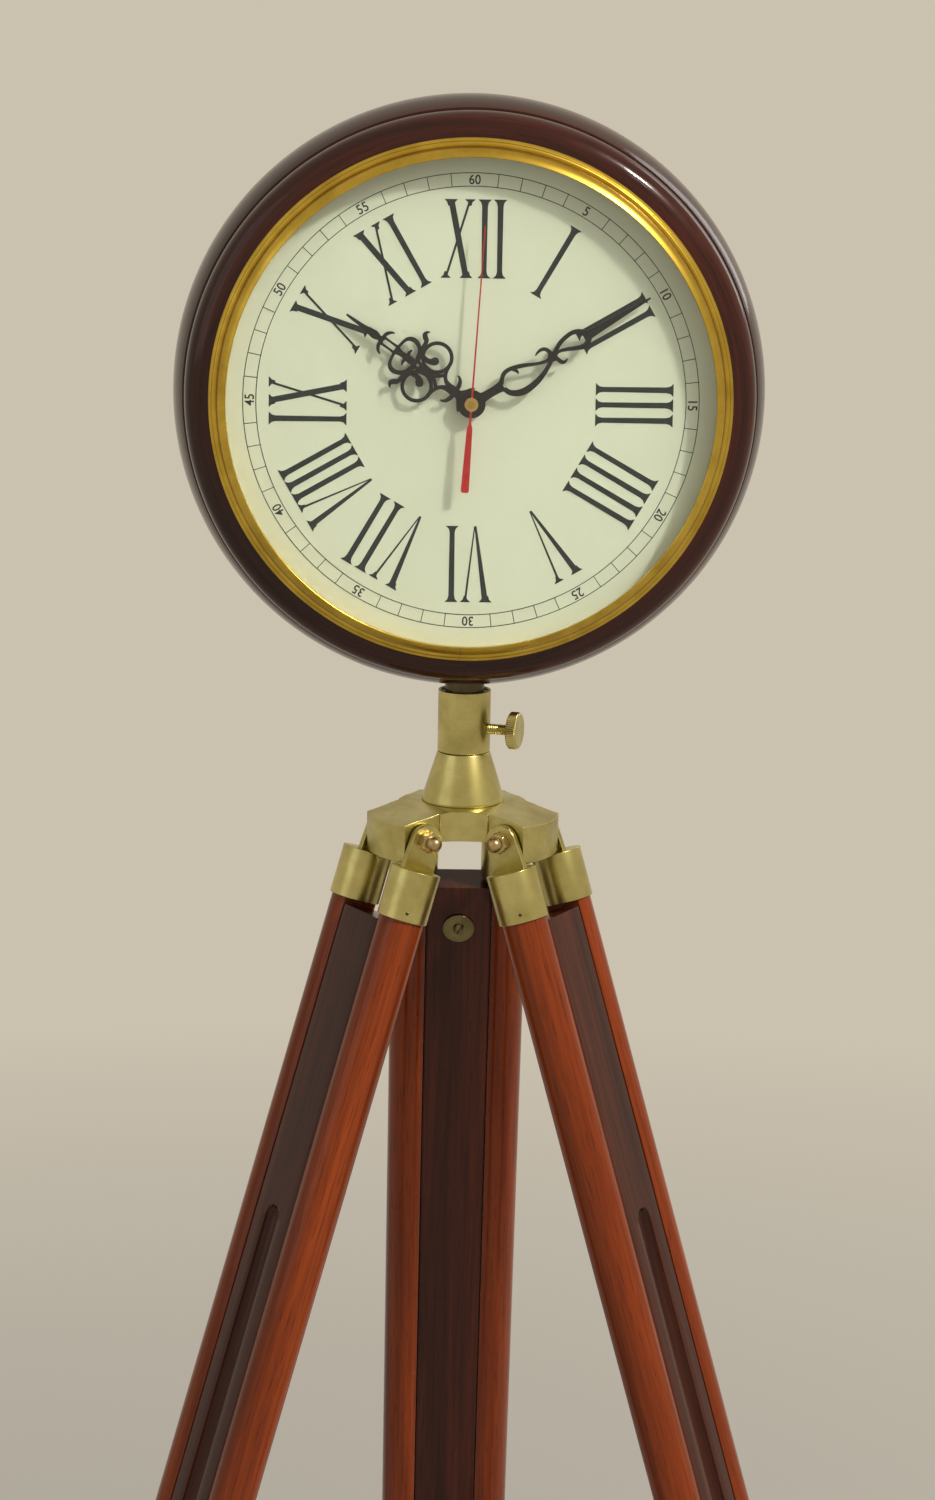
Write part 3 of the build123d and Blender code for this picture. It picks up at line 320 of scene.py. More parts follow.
# %% [markdown]
# Under the case stands the column: a cone that spreads the load on the hub, a straight
# sleeve, and the neck of the clock head turning inside it. They are bar stock turned on a
# lathe, with the finest of edges broken. A hairline groove is left where the sleeve meets
# the cone.
# %% Cone, sleeve and neck
CROWN, CONE_TOP, MOUTH = 14.2, 41.1, 74.8
cone_profile = eased(
    [(5.0, CROWN), (22.2, CROWN), (22.2, 15.4), (14.1, CONE_TOP), (5.0, CONE_TOP)], 0.45
)
sleeve_outside = [(5.0, CONE_TOP), (13.4, CONE_TOP), (14.1, 41.7), (14.1, MOUTH)]
sleeve_bore = [(12.55, MOUTH), (12.55, 47.1), (5.0, 47.1)]
neck_profile = eased(
    [(6.0, 48.1), (12.5, 48.1), (12.5, 73.8), (10.5, 74.3), (10.5, 95.0), (6.0, 95.0)], 0.3
)
cone_shell = turned(cone_profile, 128, seam=SEAM_BEHIND)
sleeve_shell = turned(eased(sleeve_outside + sleeve_bore, 0.35, loop=True), 128, True, SEAM_BEHIND)
neck_shell = turned(neck_profile, 96, seam=SEAM_BEHIND)
make_piece("hub_cone", [cone_shell], column, "column", ["cone"])
make_piece("column_sleeve", [sleeve_shell], column, "column", ["sleeve"])
make_piece("head_neck", [neck_shell], column, "clock_head", ["neck"])
print("cone, sleeve and neck turned, faces of the sleeve:", len(sleeve_shell[2]))

# %% [markdown]
# A thumb screw has a knurled head and a cut thread. Both are a lathe piece whose radius
# changes with the angle. A knurl is a cosine of many teeth, and a thread is a ridge that
# climbs one pitch for each turn. One screw clamps the neck, and three lock the legs.
# %% Thumb screws with thread and knurl
THREAD_RADIUS, THREAD_DEPTH, PITCH = 2.95, 0.34, 1.0
KNOB_RADIUS, TEETH = 9.8, 52


def thumb_screw(tip, head):
    """Shells of a screw from its tip to its head, at heights along its own axis.

    Thread radius is 2.95 - depth |2 f - 1| with f the fraction of (height / pitch - angle /
    turn). Knurl radius is 9.8 + 0.2 cos(teeth angle), and fades out below the rim.
    """
    sides = 36
    height = np.arange(tip, head + 0.3, PITCH / 8)
    angle = np.linspace(0, 2 * math.pi, sides, endpoint=False)
    phase = (height[:, None] / PITCH - angle[None, :] / (2 * math.pi)) % 1.0
    lead_in = np.clip((height[:, None] - tip) / PITCH, 0, 1)
    ridge = -THREAD_DEPTH * np.abs(2 * phase - 1) * lead_in
    profile = np.stack([np.full(len(height), THREAD_RADIUS), height], axis=1)
    thread = turned(profile, sides, radius_change=ridge)
    rim = [(8.9, 0.0), (KNOB_RADIUS, 0.9), (KNOB_RADIUS, 5.1), (8.9, 6.0)]
    knob = eased([(3.5, 0.0), *rim, (3.5, 5.9), (0.4, 5.8)], 0.3) + [0, head]
    steps = 6 * TEETH
    teeth = np.cos(TEETH * np.linspace(0, 2 * math.pi, steps, endpoint=False))
    on_rim = np.clip((knob[:, :1] - 9.3) / 0.4, 0, 1)
    return [thread, turned(knob, steps, radius_change=0.2 * on_rim * teeth[None, :])]


screw_turn = math.radians(-17)
screw_out = np.array([math.cos(screw_turn), math.sin(screw_turn), 0.0])
neck_screw_line = centre_line(pivot_centre + UP * 54.1 * MM, UP, screw_out)
screws = {"neck_thumb_screw": (neck_screw_line, 12.6, 25.1)}
for name, line in legs.items():
    clamp = on(line, np.array([0, 0, 750.0]) * MM)
    screws[f"{name}_clamp_screw"] = (centre_line(clamp, line[1][0], line[1][1]), 5.1, 31.6)
for name, (line, tip, head) in screws.items():
    make_piece(f"{name}_knurled", thumb_screw(tip, head), line, name, [name])
print("thumb screws:", len(screws))

# %% [markdown]
# The legs hang on studs with domed nuts. A nut is also a lathe piece: the distance to a
# hexagon's side is the apothem over the cosine of the angle to that side's middle, and the
# chamfer cuts the corners back to a circle. Above it sits a ball-shaped cap.
# %% Domed nuts on the pivot studs
HALF_FLATS, NUT_SEAT = 5.0, 24.5


def domed_nut():
    """Shell of one nut, its seat at height 0 and its cap above.

    The hexagon's radius at an angle is its apothem / cos(angle from the side's middle).
    """
    sides = 72
    angle = np.linspace(0, 2 * math.pi, sides, endpoint=False)
    hexagon = HALF_FLATS / np.cos((angle + math.pi / 6) % (math.pi / 3) - math.pi / 6)
    ball = np.linspace(-0.62, 1.45, 14)
    rows = [(0.0, 5.15), (0.5, 6.0), (3.9, 6.0), (4.6, 5.15), (4.75, 4.6), (4.95, 3.7)]
    rows += [(7.05 + 4.15 * math.sin(turn), 4.15 * math.cos(turn) + 0.05) for turn in ball]
    height, limit = np.array(rows).T
    radius = np.minimum(hexagon[None, :], limit[:, None])
    profile = np.stack([limit, height], axis=1)
    return turned(profile, sides, radius_change=radius - limit[:, None])


world_line = centre_line((0, 0, 0), ACROSS, UP)
outer_nut = moved(domed_nut(), (0, 0, NUT_SEAT))
other_nut = reshaped(outer_nut, lambda points: points * [1, -1, -1])
nuts = []
for line in legs.values():
    stud = centre_line(on(line, np.array([0, -LEG_OFFSET, 0]) * MM), line[1][1], line[1][0])
    nuts += [reshaped(nut, lambda points: on(stud, points)) for nut in (outer_nut, other_nut)]
make_piece("domed_nuts", nuts, world_line, "column", ["acorn_nuts"])
print("domed nuts:", len(nuts))

# %% [markdown]
# A ferrule is a brass cup over the rail's top with a thick flat ear soldered into it. The ear
# swings on the stud beside the hub's lobe, and the lobe's lower edge rests on the cups of an
# open leg. The cup is turned, while the ear is its outline carried a few millimetres across.
# %% Ferrules with their ears
RAIL_OUT, CUP_RADIUS = 25.5, 13.6
DRAWN_IN = 0.965


def plate(outline, low, high):
    """Flat plate: an outline of (y, z) points carried along x from low to high, in mm."""
    outline = np.asarray(outline, float)
    edge = np.array([low, low + 0.35, high - 0.35, high])
    middle = outline.mean(axis=0)
    inset = np.array([DRAWN_IN, 1.0, 1.0, DRAWN_IN])[:, None, None]
    flat = middle + (outline - middle)[None] * inset
    across = np.repeat(edge[:, None], len(outline), axis=1)
    return skin(np.stack([across, flat[..., 0], flat[..., 1]], axis=-1) * MM)


def ferrule(side):
    """Shells of a ferrule: its cup and its ear, on the side -1 or 1 of the leg's middle."""
    outside = [(0.3, 16.0), (CUP_RADIUS, 16.0), (CUP_RADIUS, 43.0)]
    cup = eased(outside + [(12.3, 43.0), (12.3, 19.0), (0.3, 19.0)], 0.4, loop=True)
    cup_shell = moved(turned(cup, 96, loop=True, seam=math.pi), (side * RAIL_OUT, 0, 0))
    arc = np.linspace(math.pi, 2 * math.pi, 25)
    ear = np.stack([-LEG_OFFSET + 8.9 * np.cos(arc), 8.9 * np.sin(arc)], axis=1)
    ear = np.concatenate([ear, [(7.6, 17.5), (-12.4, 17.5)]])
    ear_shell = plate(ear, *sorted((side * 20.85, side * 24.35)))
    return [cup_shell, ear_shell]


sides_of_leg = [(name, word, side) for name in legs for word, side in (("left", -1), ("right", 1))]
for name, word, side in sides_of_leg:
    node = f"{name}_{word}_ferrule"
    make_piece(f"{node}_turned", ferrule(side), legs[name], name, [node])
print("ferrules:", len(sides_of_leg))

# %% [markdown]
# Each ferrule is kept on its rail by one small nail, seen near the cup's lower edge. A flat
# head a little below the surface would be lost, so it is a shallow dome of darker brass.
# %% Nails through the ferrules
NAIL_DOWN, NAIL_SEAT, NAIL_TURN = 38.5, 13.58, 65
nail = turned([(0.95, -0.35), (0.95, 0.0), (0.7, 0.16), (0.3, 0.22)], 16)
for name, line in legs.items():
    nails = []
    for side in (-1, 1):
        turn = math.radians(90 - side * NAIL_TURN)
        direction = np.array([math.cos(turn), math.sin(turn), 0])
        seat = np.array([side * RAIL_OUT, 0, NAIL_DOWN]) + direction * NAIL_SEAT
        local = centre_line(seat * MM, UP, direction)
        nails.append(reshaped(nail, lambda points: on(line, on(local, points))))
    make_piece(f"{name}_ferrule_nails", nails, world_line, name)
print("nails on each leg:", len(nails))

# %% [markdown]
# A rail is a dowel planed flat on its inner side, where the board slides. Its section is an
# arc of 250 degrees closed by a straight line, carried along the leg. The grain place runs
# down the leg, so the figure of the wood follows the lean of each rail.
# %% Rails
RAIL_RADIUS, RAIL_FLAT = 12.2, -7.0


def carried(section, stations, ends):
    """Grid of a section (x, y) carried to every station z, drawn in by a factor at each."""
    x = section[None, :, 0] * ends[:, None]
    y = section[None, :, 1] * ends[:, None]
    return x, y, np.repeat(stations[:, None], len(section), axis=1)


def rail(side):
    """Shell of a rail: the section (x, y) of a planed dowel, at every station down the leg."""
    reach = math.acos(RAIL_FLAT / RAIL_RADIUS)
    arc = np.linspace(-reach, reach, 45)
    section = np.stack([RAIL_RADIUS * np.cos(arc), RAIL_RADIUS * np.sin(arc)], axis=1)
    flat = [(RAIL_FLAT, y) for y in (6.0, 2.0, -2.0, -6.0)]
    stations = np.concatenate([[19.1, 19.6], np.linspace(43, 764.5, 40), [765.0]])
    ends = np.ones(len(stations))
    ends[[0, -1]] = DRAWN_IN
    x, y, z = carried(np.concatenate([section, flat]), stations, ends)
    return skin(np.stack([side * (RAIL_OUT + x), y, z], axis=-1) * MM)


def shifted_grain(shell, by):
    """Moves the grain's place, so that no two rails are cut from the same piece of wood."""
    points, corners, sizes, tags = shell
    return points, corners, sizes, tags + np.asarray(by, float)


for number, (name, word, side) in enumerate(sides_of_leg):
    node, leg = f"{name}_{word}_rail", number // 2
    shell = shifted_grain(rail(side), (leg * 1.3, leg * 0.21 + side * 0.4, side * 0.17))
    make_piece(f"{node}_planed", [shell], legs[name], name, [node], crease=38)
print("rails:", len(sides_of_leg))

# %% [markdown]
# The board between the rails slides to set the leg's length. A router has run a groove down
# its outer face, with round ends, in which the clamp's screw travels. Seen as a surface, the
# board is a rounded rectangle carried down the leg whose outer face sinks by a depth that
# depends on the distance to the groove's middle line.
# %% Sliding boards with their groove
GROOVE_HALF, GROOVE_DEEP = 6.5, 5.0
GROOVE_TOP, GROOVE_FOOT = 218.0, 789.5


def groove_depth(across, along):
    """Depth of the routed groove: 5 (1 - (d / 6.5)^2.6)^0.6, d being the distance to its line."""
    beyond = np.maximum(0, np.maximum(GROOVE_TOP - along, along - GROOVE_FOOT))
    distance = np.clip(np.hypot(across, beyond) / GROOVE_HALF, 0, 1)
    return GROOVE_DEEP * (1 - distance**2.6) ** 0.6


def board():
    """Shell of a board: each row is the section at one station, sunk where the groove is."""
    face = np.concatenate([[16.7, 11.0], np.linspace(6.9, -6.9, 35), [-11.0, -16.7]])
    outer = np.stack([face, np.full(len(face), 10.0)], axis=1)
    corner = np.linspace(0, math.pi / 2, 5)[1:-1]
    rounding = 1.4 * np.stack([np.cos(corner), np.sin(corner)], axis=1)
    left_top = [-16.9, 8.6] + rounding[::-1] * [-1, 1]
    left_foot = [-16.9, -8.6] + rounding * [-1, -1]
    left = np.concatenate([left_top, [(-18.3, 8.4), (-18.3, -8.4)], left_foot])
    back = np.stack([np.linspace(-16.7, 16.7, 9), np.full(9, -10.0)], axis=1)
    right_foot = [16.9, -8.6] + rounding[::-1] * [1, -1]
    right_top = [16.9, 8.6] + rounding
    right = np.concatenate([right_foot, [(18.3, -8.4), (18.3, 8.4)], right_top])
    groove_start, groove_end = np.linspace(209.5, 221.5, 15), np.linspace(786, 798, 15)
    upper = [[46.5, 47.1], np.linspace(60, 205, 8), groove_start]
    lower = [np.linspace(240, 770, 28), groove_end, [820.0, 840.9]]
    stations = np.concatenate(upper + lower)
    ends = np.ones(len(stations))
    ends[0] = 0.975
    section = np.concatenate([outer, left, back, right])
    x, y, z = carried(section, stations, ends)
    sunk = np.where(section[None, :, 1] > 9.99, groove_depth(x, z), 0)
    return skin(np.stack([x, y - sunk, z], axis=-1) * MM)


for number, (name, line) in enumerate(legs.items()):
    shell = shifted_grain(board(), (number * 0.9 + 0.4, 0.3 + number * 0.13, 0.05))
    node, body = f"{name}_board", f"{name}_slider"
    make_piece(f"{node}_routed", [shell], line, body, [node], crease=36)
print("boards: 3, groove depth at its middle:", float(groove_depth(0.0, 500.0)))

# %% [markdown]
# Near the top of each board, a slotted screw holds a brass washer against its inner face, so
# that the board can't be pulled out of the rails. The head is a square grid pressed into a
# disc, because a slot is straight and a lathe grid isn't. Lower down, a plain pin keeps the
# shoe on the board.
# %% Stop washers, slotted screws and shoe pins


def slotted_head(radius, height):
    """Shell of a domed, slotted head on the plane z = 0.

    The square u, v in -1..1 becomes the disc x = u sqrt(1 - v^2/2), y = v sqrt(1 - u^2/2).
    """
    u = np.concatenate([np.linspace(-1, -0.2, 9), [-0.17, 0.17], np.linspace(0.2, 1, 9)])
    v = np.linspace(-1, 1, 19)
    uu, vv = np.meshgrid(u, v, indexing="ij")
    x, y = uu * np.sqrt(1 - vv**2 / 2), vv * np.sqrt(1 - uu**2 / 2)
    rise = height * np.sqrt(np.clip(1 - 0.75 * (x**2 + y**2), 0, 1))
    rise = np.where(np.abs(uu) < 0.19, rise - 0.9, rise)
    top = np.stack([x * radius, y * radius, rise], axis=-1)
    rows, columns = top.shape[:2]
    quads = np.arange(rows * columns).reshape(rows, columns)
    around = [quads[:-1, :-1], quads[1:, :-1], quads[1:, 1:], quads[:-1, 1:]]
    faces = np.stack(around, axis=-1).reshape(-1, 4)
    rim = np.concatenate([quads[0, :-1], quads[:-1, -1], quads[-1, :0:-1], quads[:0:-1, 0]])
    base = top.reshape(-1, 3)[rim] * [1, 1, 0]
    below = rows * columns + np.arange(len(rim))
    walls = np.stack([rim, np.roll(rim, -1), np.roll(below, -1), below], axis=-1)
    points = np.concatenate([top.reshape(-1, 3), base]) * MM
    corners = np.concatenate([faces.ravel(), walls.ravel(), below])
    sizes = np.concatenate([np.full(len(faces) + len(walls), 4), [len(rim)]])
    return points, corners, sizes, points[corners]


def facing(shell, line, turn):
    """A shell on another centre line inside a leg's frame, turned about its own axis."""
    c, s = math.cos(turn), math.sin(turn)
    rotation = np.array([[c, s, 0], [-s, c, 0], [0, 0, 1]])
    return reshaped(shell, lambda points: on(line, points @ rotation))


inner_face = centre_line(np.array([0, -10.0, 72.5]) * MM, (1, 0, 0), (0, -1, 0))
pin_line = centre_line(np.array([0, 0, 828.0]) * MM, (1, 0, 0), (0, 1, 0))
washer_profile = [(1.9, 0.0), (8.8, 0.0), (8.8, 1.2), (3.2, 1.35), (1.9, 1.35)]
washer = turned(eased(washer_profile, 0.3, loop=True), 72, loop=True)
pin = turned(eased([(0.4, -12.4), (2.0, -12.4), (2.0, 12.4), (0.4, 12.4)], 0.25), 32)
screw_head = moved(slotted_head(3.3, 1.6), (0, 0, 1.2))
for number, (name, line) in enumerate(legs.items()):
    head = facing(screw_head, inner_face, 0.7 + number)
    shells = [facing(washer, inner_face, 0), head, facing(pin, pin_line, 0)]
    node, body = f"{name}_board_screws", f"{name}_slider"
    make_piece(f"{name}_board_fastenings", shells, line, body, [node])
print("washer, screw and pin on each board")

# %% [markdown]
# The hub, the clamps and the shoes are sawn and milled shapes with flat faces, which the CAD
# model already has right. What it lacks is the small round on every edge. A copy of the CAD
# mesh is merged into whole faces first, and a Bevel modifier then breaks the edges.
# %% Milled pieces with broken edges


def broken_edges(node, name, body, width, line, segments=2):
    """Copy of a CAD node with joined faces, its grain along a centre line, and beveled edges."""
    mesh = nodes[node].data.copy()
    mesh.name = name
    work = bmesh.new()
    work.from_mesh(mesh)
    bmesh.ops.remove_doubles(work, verts=work.verts, dist=2e-6)
    bmesh.ops.dissolve_limit(work, angle_limit=math.radians(2), verts=work.verts, edges=work.edges)
    work.to_mesh(mesh)
    work.free()
    points = np.empty(len(mesh.vertices) * 3, np.float32)
    mesh.vertices.foreach_get("co", points)
    local = (points.reshape(-1, 3) - line[0]) @ line[1].T
    grain = mesh.attributes.new("grain", "FLOAT_VECTOR", "POINT")
    grain.data.foreach_set("vector", local[:, [2, 0, 1]].astype(np.float32).ravel())
    smooth(mesh, 30)
    piece = bpy.data.objects.new(name, mesh)
    bpy.context.collection.objects.link(piece)
    bevel = piece.modifiers.new("broken edges", "BEVEL")
    bevel.width = width * MM
    bevel.segments = segments
    bevel.limit_method = "ANGLE"
    bevel.angle_limit = math.radians(28)
    bevel.harden_normals = True
    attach(piece, body)
    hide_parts(node)
    return piece


hub_line = centre_line(pivot_centre, UP, ACROSS)
broken_edges("hub", "scalloped_hub", "column", 0.5, hub_line)
for name, line in legs.items():
    broken_edges(f"{name}_clamp", f"{name}_clamp_strap", name, 0.6, line)
    broken_edges(f"{name}_shoe", f"{name}_foot_shoe", f"{name}_slider", 0.7, line)
broken_edges("movement_case", "movement_tub", "clock_head", 0.4, dial_axis)
print("milled pieces: 8")

# %% [markdown]
# Four spring clips press the glass against the bezel's lip. Each is a bowed strip of sheet,
# carried a few degrees round the dial's axis, and it stays behind the lip.
# %% Spring clips behind the glass
GLASS_BACK = 8.6


def spring_clip(bearing):
    """Shell of a clip: its section (radius, height) at nine angles round a bearing in degrees."""
    front = bowed([128.9, GLASS_BACK - 0.5], [127.3, GLASS_BACK - 0.02], 0.12, 6)
    back = front[::-1] - [0.0, 0.4]
    section = np.concatenate([front, back])
    angles = np.radians(bearing + np.linspace(-2.6, 2.6, 9))
    grid = np.empty((len(angles), len(section), 3))
    grid[..., 0] = np.cos(angles)[:, None] * section[:, 0]
    grid[..., 1] = np.sin(angles)[:, None] * section[:, 0]
    grid[..., 2] = section[:, 1]
    return skin(grid * MM)


clips = [spring_clip(bearing) for bearing in (45, 135, 225, 315)]
make_piece("glass_clips_sprung", clips, dial_axis, "clock_head", ["glass_clips"])
print("clips:", len(clips))

# %% [markdown]
# The print on the dial is a thin film of black enamel: twelve roman hours, a ladder ring of
# minutes, and the minutes in small figures. The roman letters are condensed, with one heavy
# and one thin stroke, and their serifs swell into the stroke. Such strokes are a few convex
# outlines each, so they are laid down as thin prisms on the dial. Where two of them overlap,
# their tops differ by a few microns, so that neither shades the other.
# %% Roman hours
INK = 0.07
STAGGER = 0.003
HOUR_FOOT, HOUR_TALL = 64.5, 40.3


def prism(outline, low=0.0, high=INK):
    """Thin prism over a convex outline of (x, y) points in millimetres."""
    outline = np.asarray(outline, float)
    height = np.repeat(np.array([low, high])[:, None], len(outline), axis=1)
    flat = np.repeat(outline[None], 2, axis=0)
    return np.concatenate([flat, height[..., None]], axis=-1)


def serif(x, y, direction, stroke, wide):
    """Serif at a stroke's end: a slab whose two brackets narrow to the stroke's width."""
    levels = np.array([0.0, 0.55, 1.5, 3.4])
    halves = np.array([wide, wide * 0.86, stroke + (wide - stroke) * 0.26, stroke]) / 2
    outlines = []
    for low, high, first, second in zip(levels, levels[1:], halves, halves[1:]):
        y0, y1 = y - direction * low, y - direction * high
        outlines.append([(x - first, y0), (x + first, y0), (x + second, y1), (x - second, y1)])
    return outlines


def stroke(foot, top, width_foot, width_top, serifs=(True, True), wide=6.9):
    """A straight stroke from (foot, 0) to (top, the letters' height), with its serifs."""
    low, high = width_foot / 2, width_top / 2
    shaft = [(foot - low, 0), (foot + low, 0), (top + high, HOUR_TALL), (top - high, HOUR_TALL)]
    outlines = [shaft]
    if serifs[0]:
        outlines += serif(foot, 0, -1, width_foot, wide * 0.97)
    if serifs[1]:
        outlines += serif(top, HOUR_TALL, 1, width_top, wide)
    return outlines


def letter_v(x):
    """A V: its heavy stroke on the left, its thin one on the right, with serifs on top."""
    heavy = stroke(x + 0.5, x - 5.2, 1.1, 3.2, (False, True))
    return heavy + stroke(x + 0.9, x + 5.4, 0.6, 1.2, (False, True), 5.4)


def letter_x(x):
    """An X: its heavy stroke falls to the right, and its thin one rises."""
    return stroke(x + 4.2, x - 4.0, 3.1, 3.2) + stroke(x - 6.3, x + 5.8, 1.2, 1.2, wide=5.4)


LETTERS = {"I": lambda x: stroke(x, x, 2.6, 3.0), "V": letter_v, "X": letter_x}
HALF_WIDTHS = {"I": 3.45, "V": 8.4, "X": 8.9}
STEPS = {"II": 8.0, "VI": 12.6, "IV": 12.6, "XI": 13.4, "IX": 13.2}
SQUEEZE = {"VIII": 0.88, "VII": 1.06}
HOURS = ["I", "II", "III", "IIII", "V", "VI", "VII", "VIII", "IX", "X", "XI", "XII"]


def hour_outlines(word):
    """All outlines of a roman hour, centred on x = 0, its foot at y = 0."""
    places = [0.0]
    for pair in zip(word, word[1:]):
        places.append(places[-1] + STEPS["".join(pair)] * SQUEEZE.get(word, 1.0))
    middle = (places[0] - HALF_WIDTHS[word[0]] + places[-1] + HALF_WIDTHS[word[-1]]) / 2
    letters = [LETTERS[letter](place - middle) for letter, place in zip(word, places)]
    return [outline for letter in letters for outline in letter]


def round_dial(points, degrees_clockwise):
    """Points drawn under the twelve, carried clockwise round the dial's centre."""
    turn = math.radians(degrees_clockwise)
    c, s = math.cos(turn), math.sin(turn)
    x = points[..., 0] * c + points[..., 1] * s
    y = points[..., 1] * c - points[..., 0] * s
    return np.stack([x, y, points[..., 2]], axis=-1)


hour_shells = []
for hour, word in enumerate(HOURS, start=1):
    for number, outline in enumerate(hour_outlines(word)):
        lifted = np.asarray(outline, float) + [0, HOUR_FOOT]
        raised = prism(lifted, high=INK + STAGGER * number)
        hour_shells.append(skin(round_dial(raised, 30 * hour) * MM))
make_piece("printed_hours", hour_shells, dial_axis, "clock_head", crease=20)
print("hour strokes:", len(hour_shells))

# %% [markdown]
# The ladder ring has two circles with a rung at every minute, and at every fifth minute the
# rung makes way for its figure. Circles are flat lathe rings. The figures come from Blender's
# own font: the text is turned into a mesh first, and only then carried to its place.
# %% Minute ring and minute figures
RING_RADII, RING_LINE, RUNG_HALF = (118.3, 111.5), 0.21, 0.2
FIGURE_RADIUS, FIGURE_TALL = 114.9, 5.0
ring_shells = []
for radius in RING_RADII:
    inside, outside = radius - RING_LINE, radius + RING_LINE
    section = [(inside, 0), (outside, 0), (outside, INK), (inside, INK)]
    ring_shells.append(turned(section, 240, loop=True))
high, low = RING_RADII
rung = prism([(-RUNG_HALF, low), (RUNG_HALF, low), (RUNG_HALF, high), (-RUNG_HALF, high)])
for minute in range(60):
    if minute % 5:
        ring_shells.append(skin(round_dial(rung, 6 * minute) * MM))
make_piece("printed_minute_ring", ring_shells, dial_axis, "clock_head", crease=20)


def figure_mesh(words, tall):
    """Flat letters as a mesh, centred on the origin: corner points and faces, in millimetres."""
    text = bpy.data.curves.new("figure", "FONT")
    text.body = words
    text.align_x = "CENTER"
    text.resolution_u = 4
    text.extrude = 0.5
    text.offset = 0.012
    holder = bpy.data.objects.new("figure", text)
    mesh = bpy.data.meshes.new_from_object(holder)
    points = np.empty(len(mesh.vertices) * 3, np.float32)
    mesh.vertices.foreach_get("co", points)
    points = points.reshape(-1, 3)
    corners = np.empty(len(mesh.loops), np.int32)
    mesh.loops.foreach_get("vertex_index", corners)
    sizes = np.empty(len(mesh.polygons), np.int32)
    mesh.polygons.foreach_get("loop_total", sizes)
    low, high = points.min(axis=0), points.max(axis=0)
    scale = tall / (high[1] - low[1])
    flat = (points - (low + high) / 2) * scale
    flat[:, 2] = np.where(points[:, 2] > 0, INK, 0.0)
    bpy.data.objects.remove(holder)
    bpy.data.curves.remove(text)
    bpy.data.meshes.remove(mesh)
    return flat, corners, sizes


figure_shells = []
for minute in range(5, 61, 5):
    flat, corners, sizes = figure_mesh(str(minute), FIGURE_TALL)
    placed = round_dial(flat * [0.92, 1, 1] + [0, FIGURE_RADIUS, 0], 6 * minute) * MM
    figure_shells.append((placed, corners, sizes, placed[corners]))
make_piece(
    "printed_minute_figures", figure_shells, dial_axis, "clock_head", crease=20
)
print("ring pieces:", len(ring_shells), "figures:", len(figure_shells))

# %% [markdown]
# The hands are sawn from sheet, and every stroke swells and thins like a pen's. So a stroke is
# a list of places with a width at each, drawn out as a smooth curve. Strokes that cross differ
# by a few microns in height, as the printed ones do.
# %% Strokes of varying width
HAND_THICK, HAND_EDGE, BOSS_RADIUS = 0.8, 0.16, 7.3
HOUR_TIP, MINUTE_TIP = 79.25, 107.15


def drawn(points, rise=0.0, closed=False, steps=8, fuller=1.0):
    """Shell of a stroke through (x, y, width) points, as a flat ribbon with eased top edges.

    Between points P1 and P2 the curve is Catmull-Rom: half of 2 P1 + (P2 - P0) t
    + (2 P0 - 5 P1 + 4 P2 - P3) t^2 + (3 P1 - P0 - 3 P2 + P3) t^3, the width included. A factor
    makes the whole stroke fuller.
    """
    knots = np.asarray(points, float)
    if closed:
        knots = np.concatenate([knots[-1:], knots, knots[:2]])
    else:
        before, after = 2 * knots[:1] - knots[1:2], 2 * knots[-1:] - knots[-2:-1]
        knots = np.concatenate([before, knots, after])
    t = (np.arange(steps) / steps)[None, :, None]
    p0, p1, p2, p3 = (knots[i : len(knots) - 3 + i, None, :] for i in range(4))
    square = (2 * p0 - 5 * p1 + 4 * p2 - p3) * t**2
    cube = (3 * p1 - p0 - 3 * p2 + p3) * t**3
    curve = (0.5 * (2 * p1 + (p2 - p0) * t + square + cube)).reshape(-1, 3)
    if closed:
        along = np.roll(curve, -1, axis=0) - np.roll(curve, 1, axis=0)
    else:
        curve = np.concatenate([curve, knots[-2:-1]])
        along = np.gradient(curve, axis=0)
    side = np.stack([along[:, 1], -along[:, 0]], axis=1)
    side /= np.linalg.norm(side, axis=1, keepdims=True)
    half = curve[:, 2:3] / 2 * fuller
    edge = np.minimum(HAND_EDGE, half * 0.5)
    top = HAND_THICK + rise
    places = [(half, 0.0), (half, top - HAND_EDGE), (half - edge, top)]
    places += [(-reach, height) for reach, height in reversed(places)]
    grid = np.empty((len(curve), len(places), 3))
    for place, (reach, height) in enumerate(places):
        grid[:, place, :2] = curve[:, :2] + side * reach
        grid[:, place, 2] = height
    return skin(grid * MM, loop=closed)


def ring_points(x, y, radius, width, count=10):
    """Places on a circle, for a closed stroke."""
    angles = np.arange(count) * 2 * math.pi / count
    return [(x + radius * math.cos(a), y + radius * math.sin(a), width) for a in angles]


def hand(name, strokes, rings, hole, height, degrees_clockwise, fuller):
    """A hand from its strokes, its rings and a round boss, at its height above the dial."""
    boss = [(hole, 0), (BOSS_RADIUS, 0), (BOSS_RADIUS, HAND_THICK), (hole, HAND_THICK)]
    shells = [turned(eased(boss, HAND_EDGE, 2, True), 64, loop=True)]
    for first, closed, group in ((1, False, strokes), (40, True, rings)):
        for number, points in enumerate(group, start=first):
            shells.append(drawn(points, STAGGER * number, closed, fuller=fuller))
    lift = np.array([0, 0, height]) * MM
    placed = [
        reshaped(shell, lambda points: round_dial(points + lift, degrees_clockwise))
        for shell in shells
    ]
    sawn = f"{name}_sawn"
    return make_piece(sawn, placed, dial_axis, name, [name], crease=26)


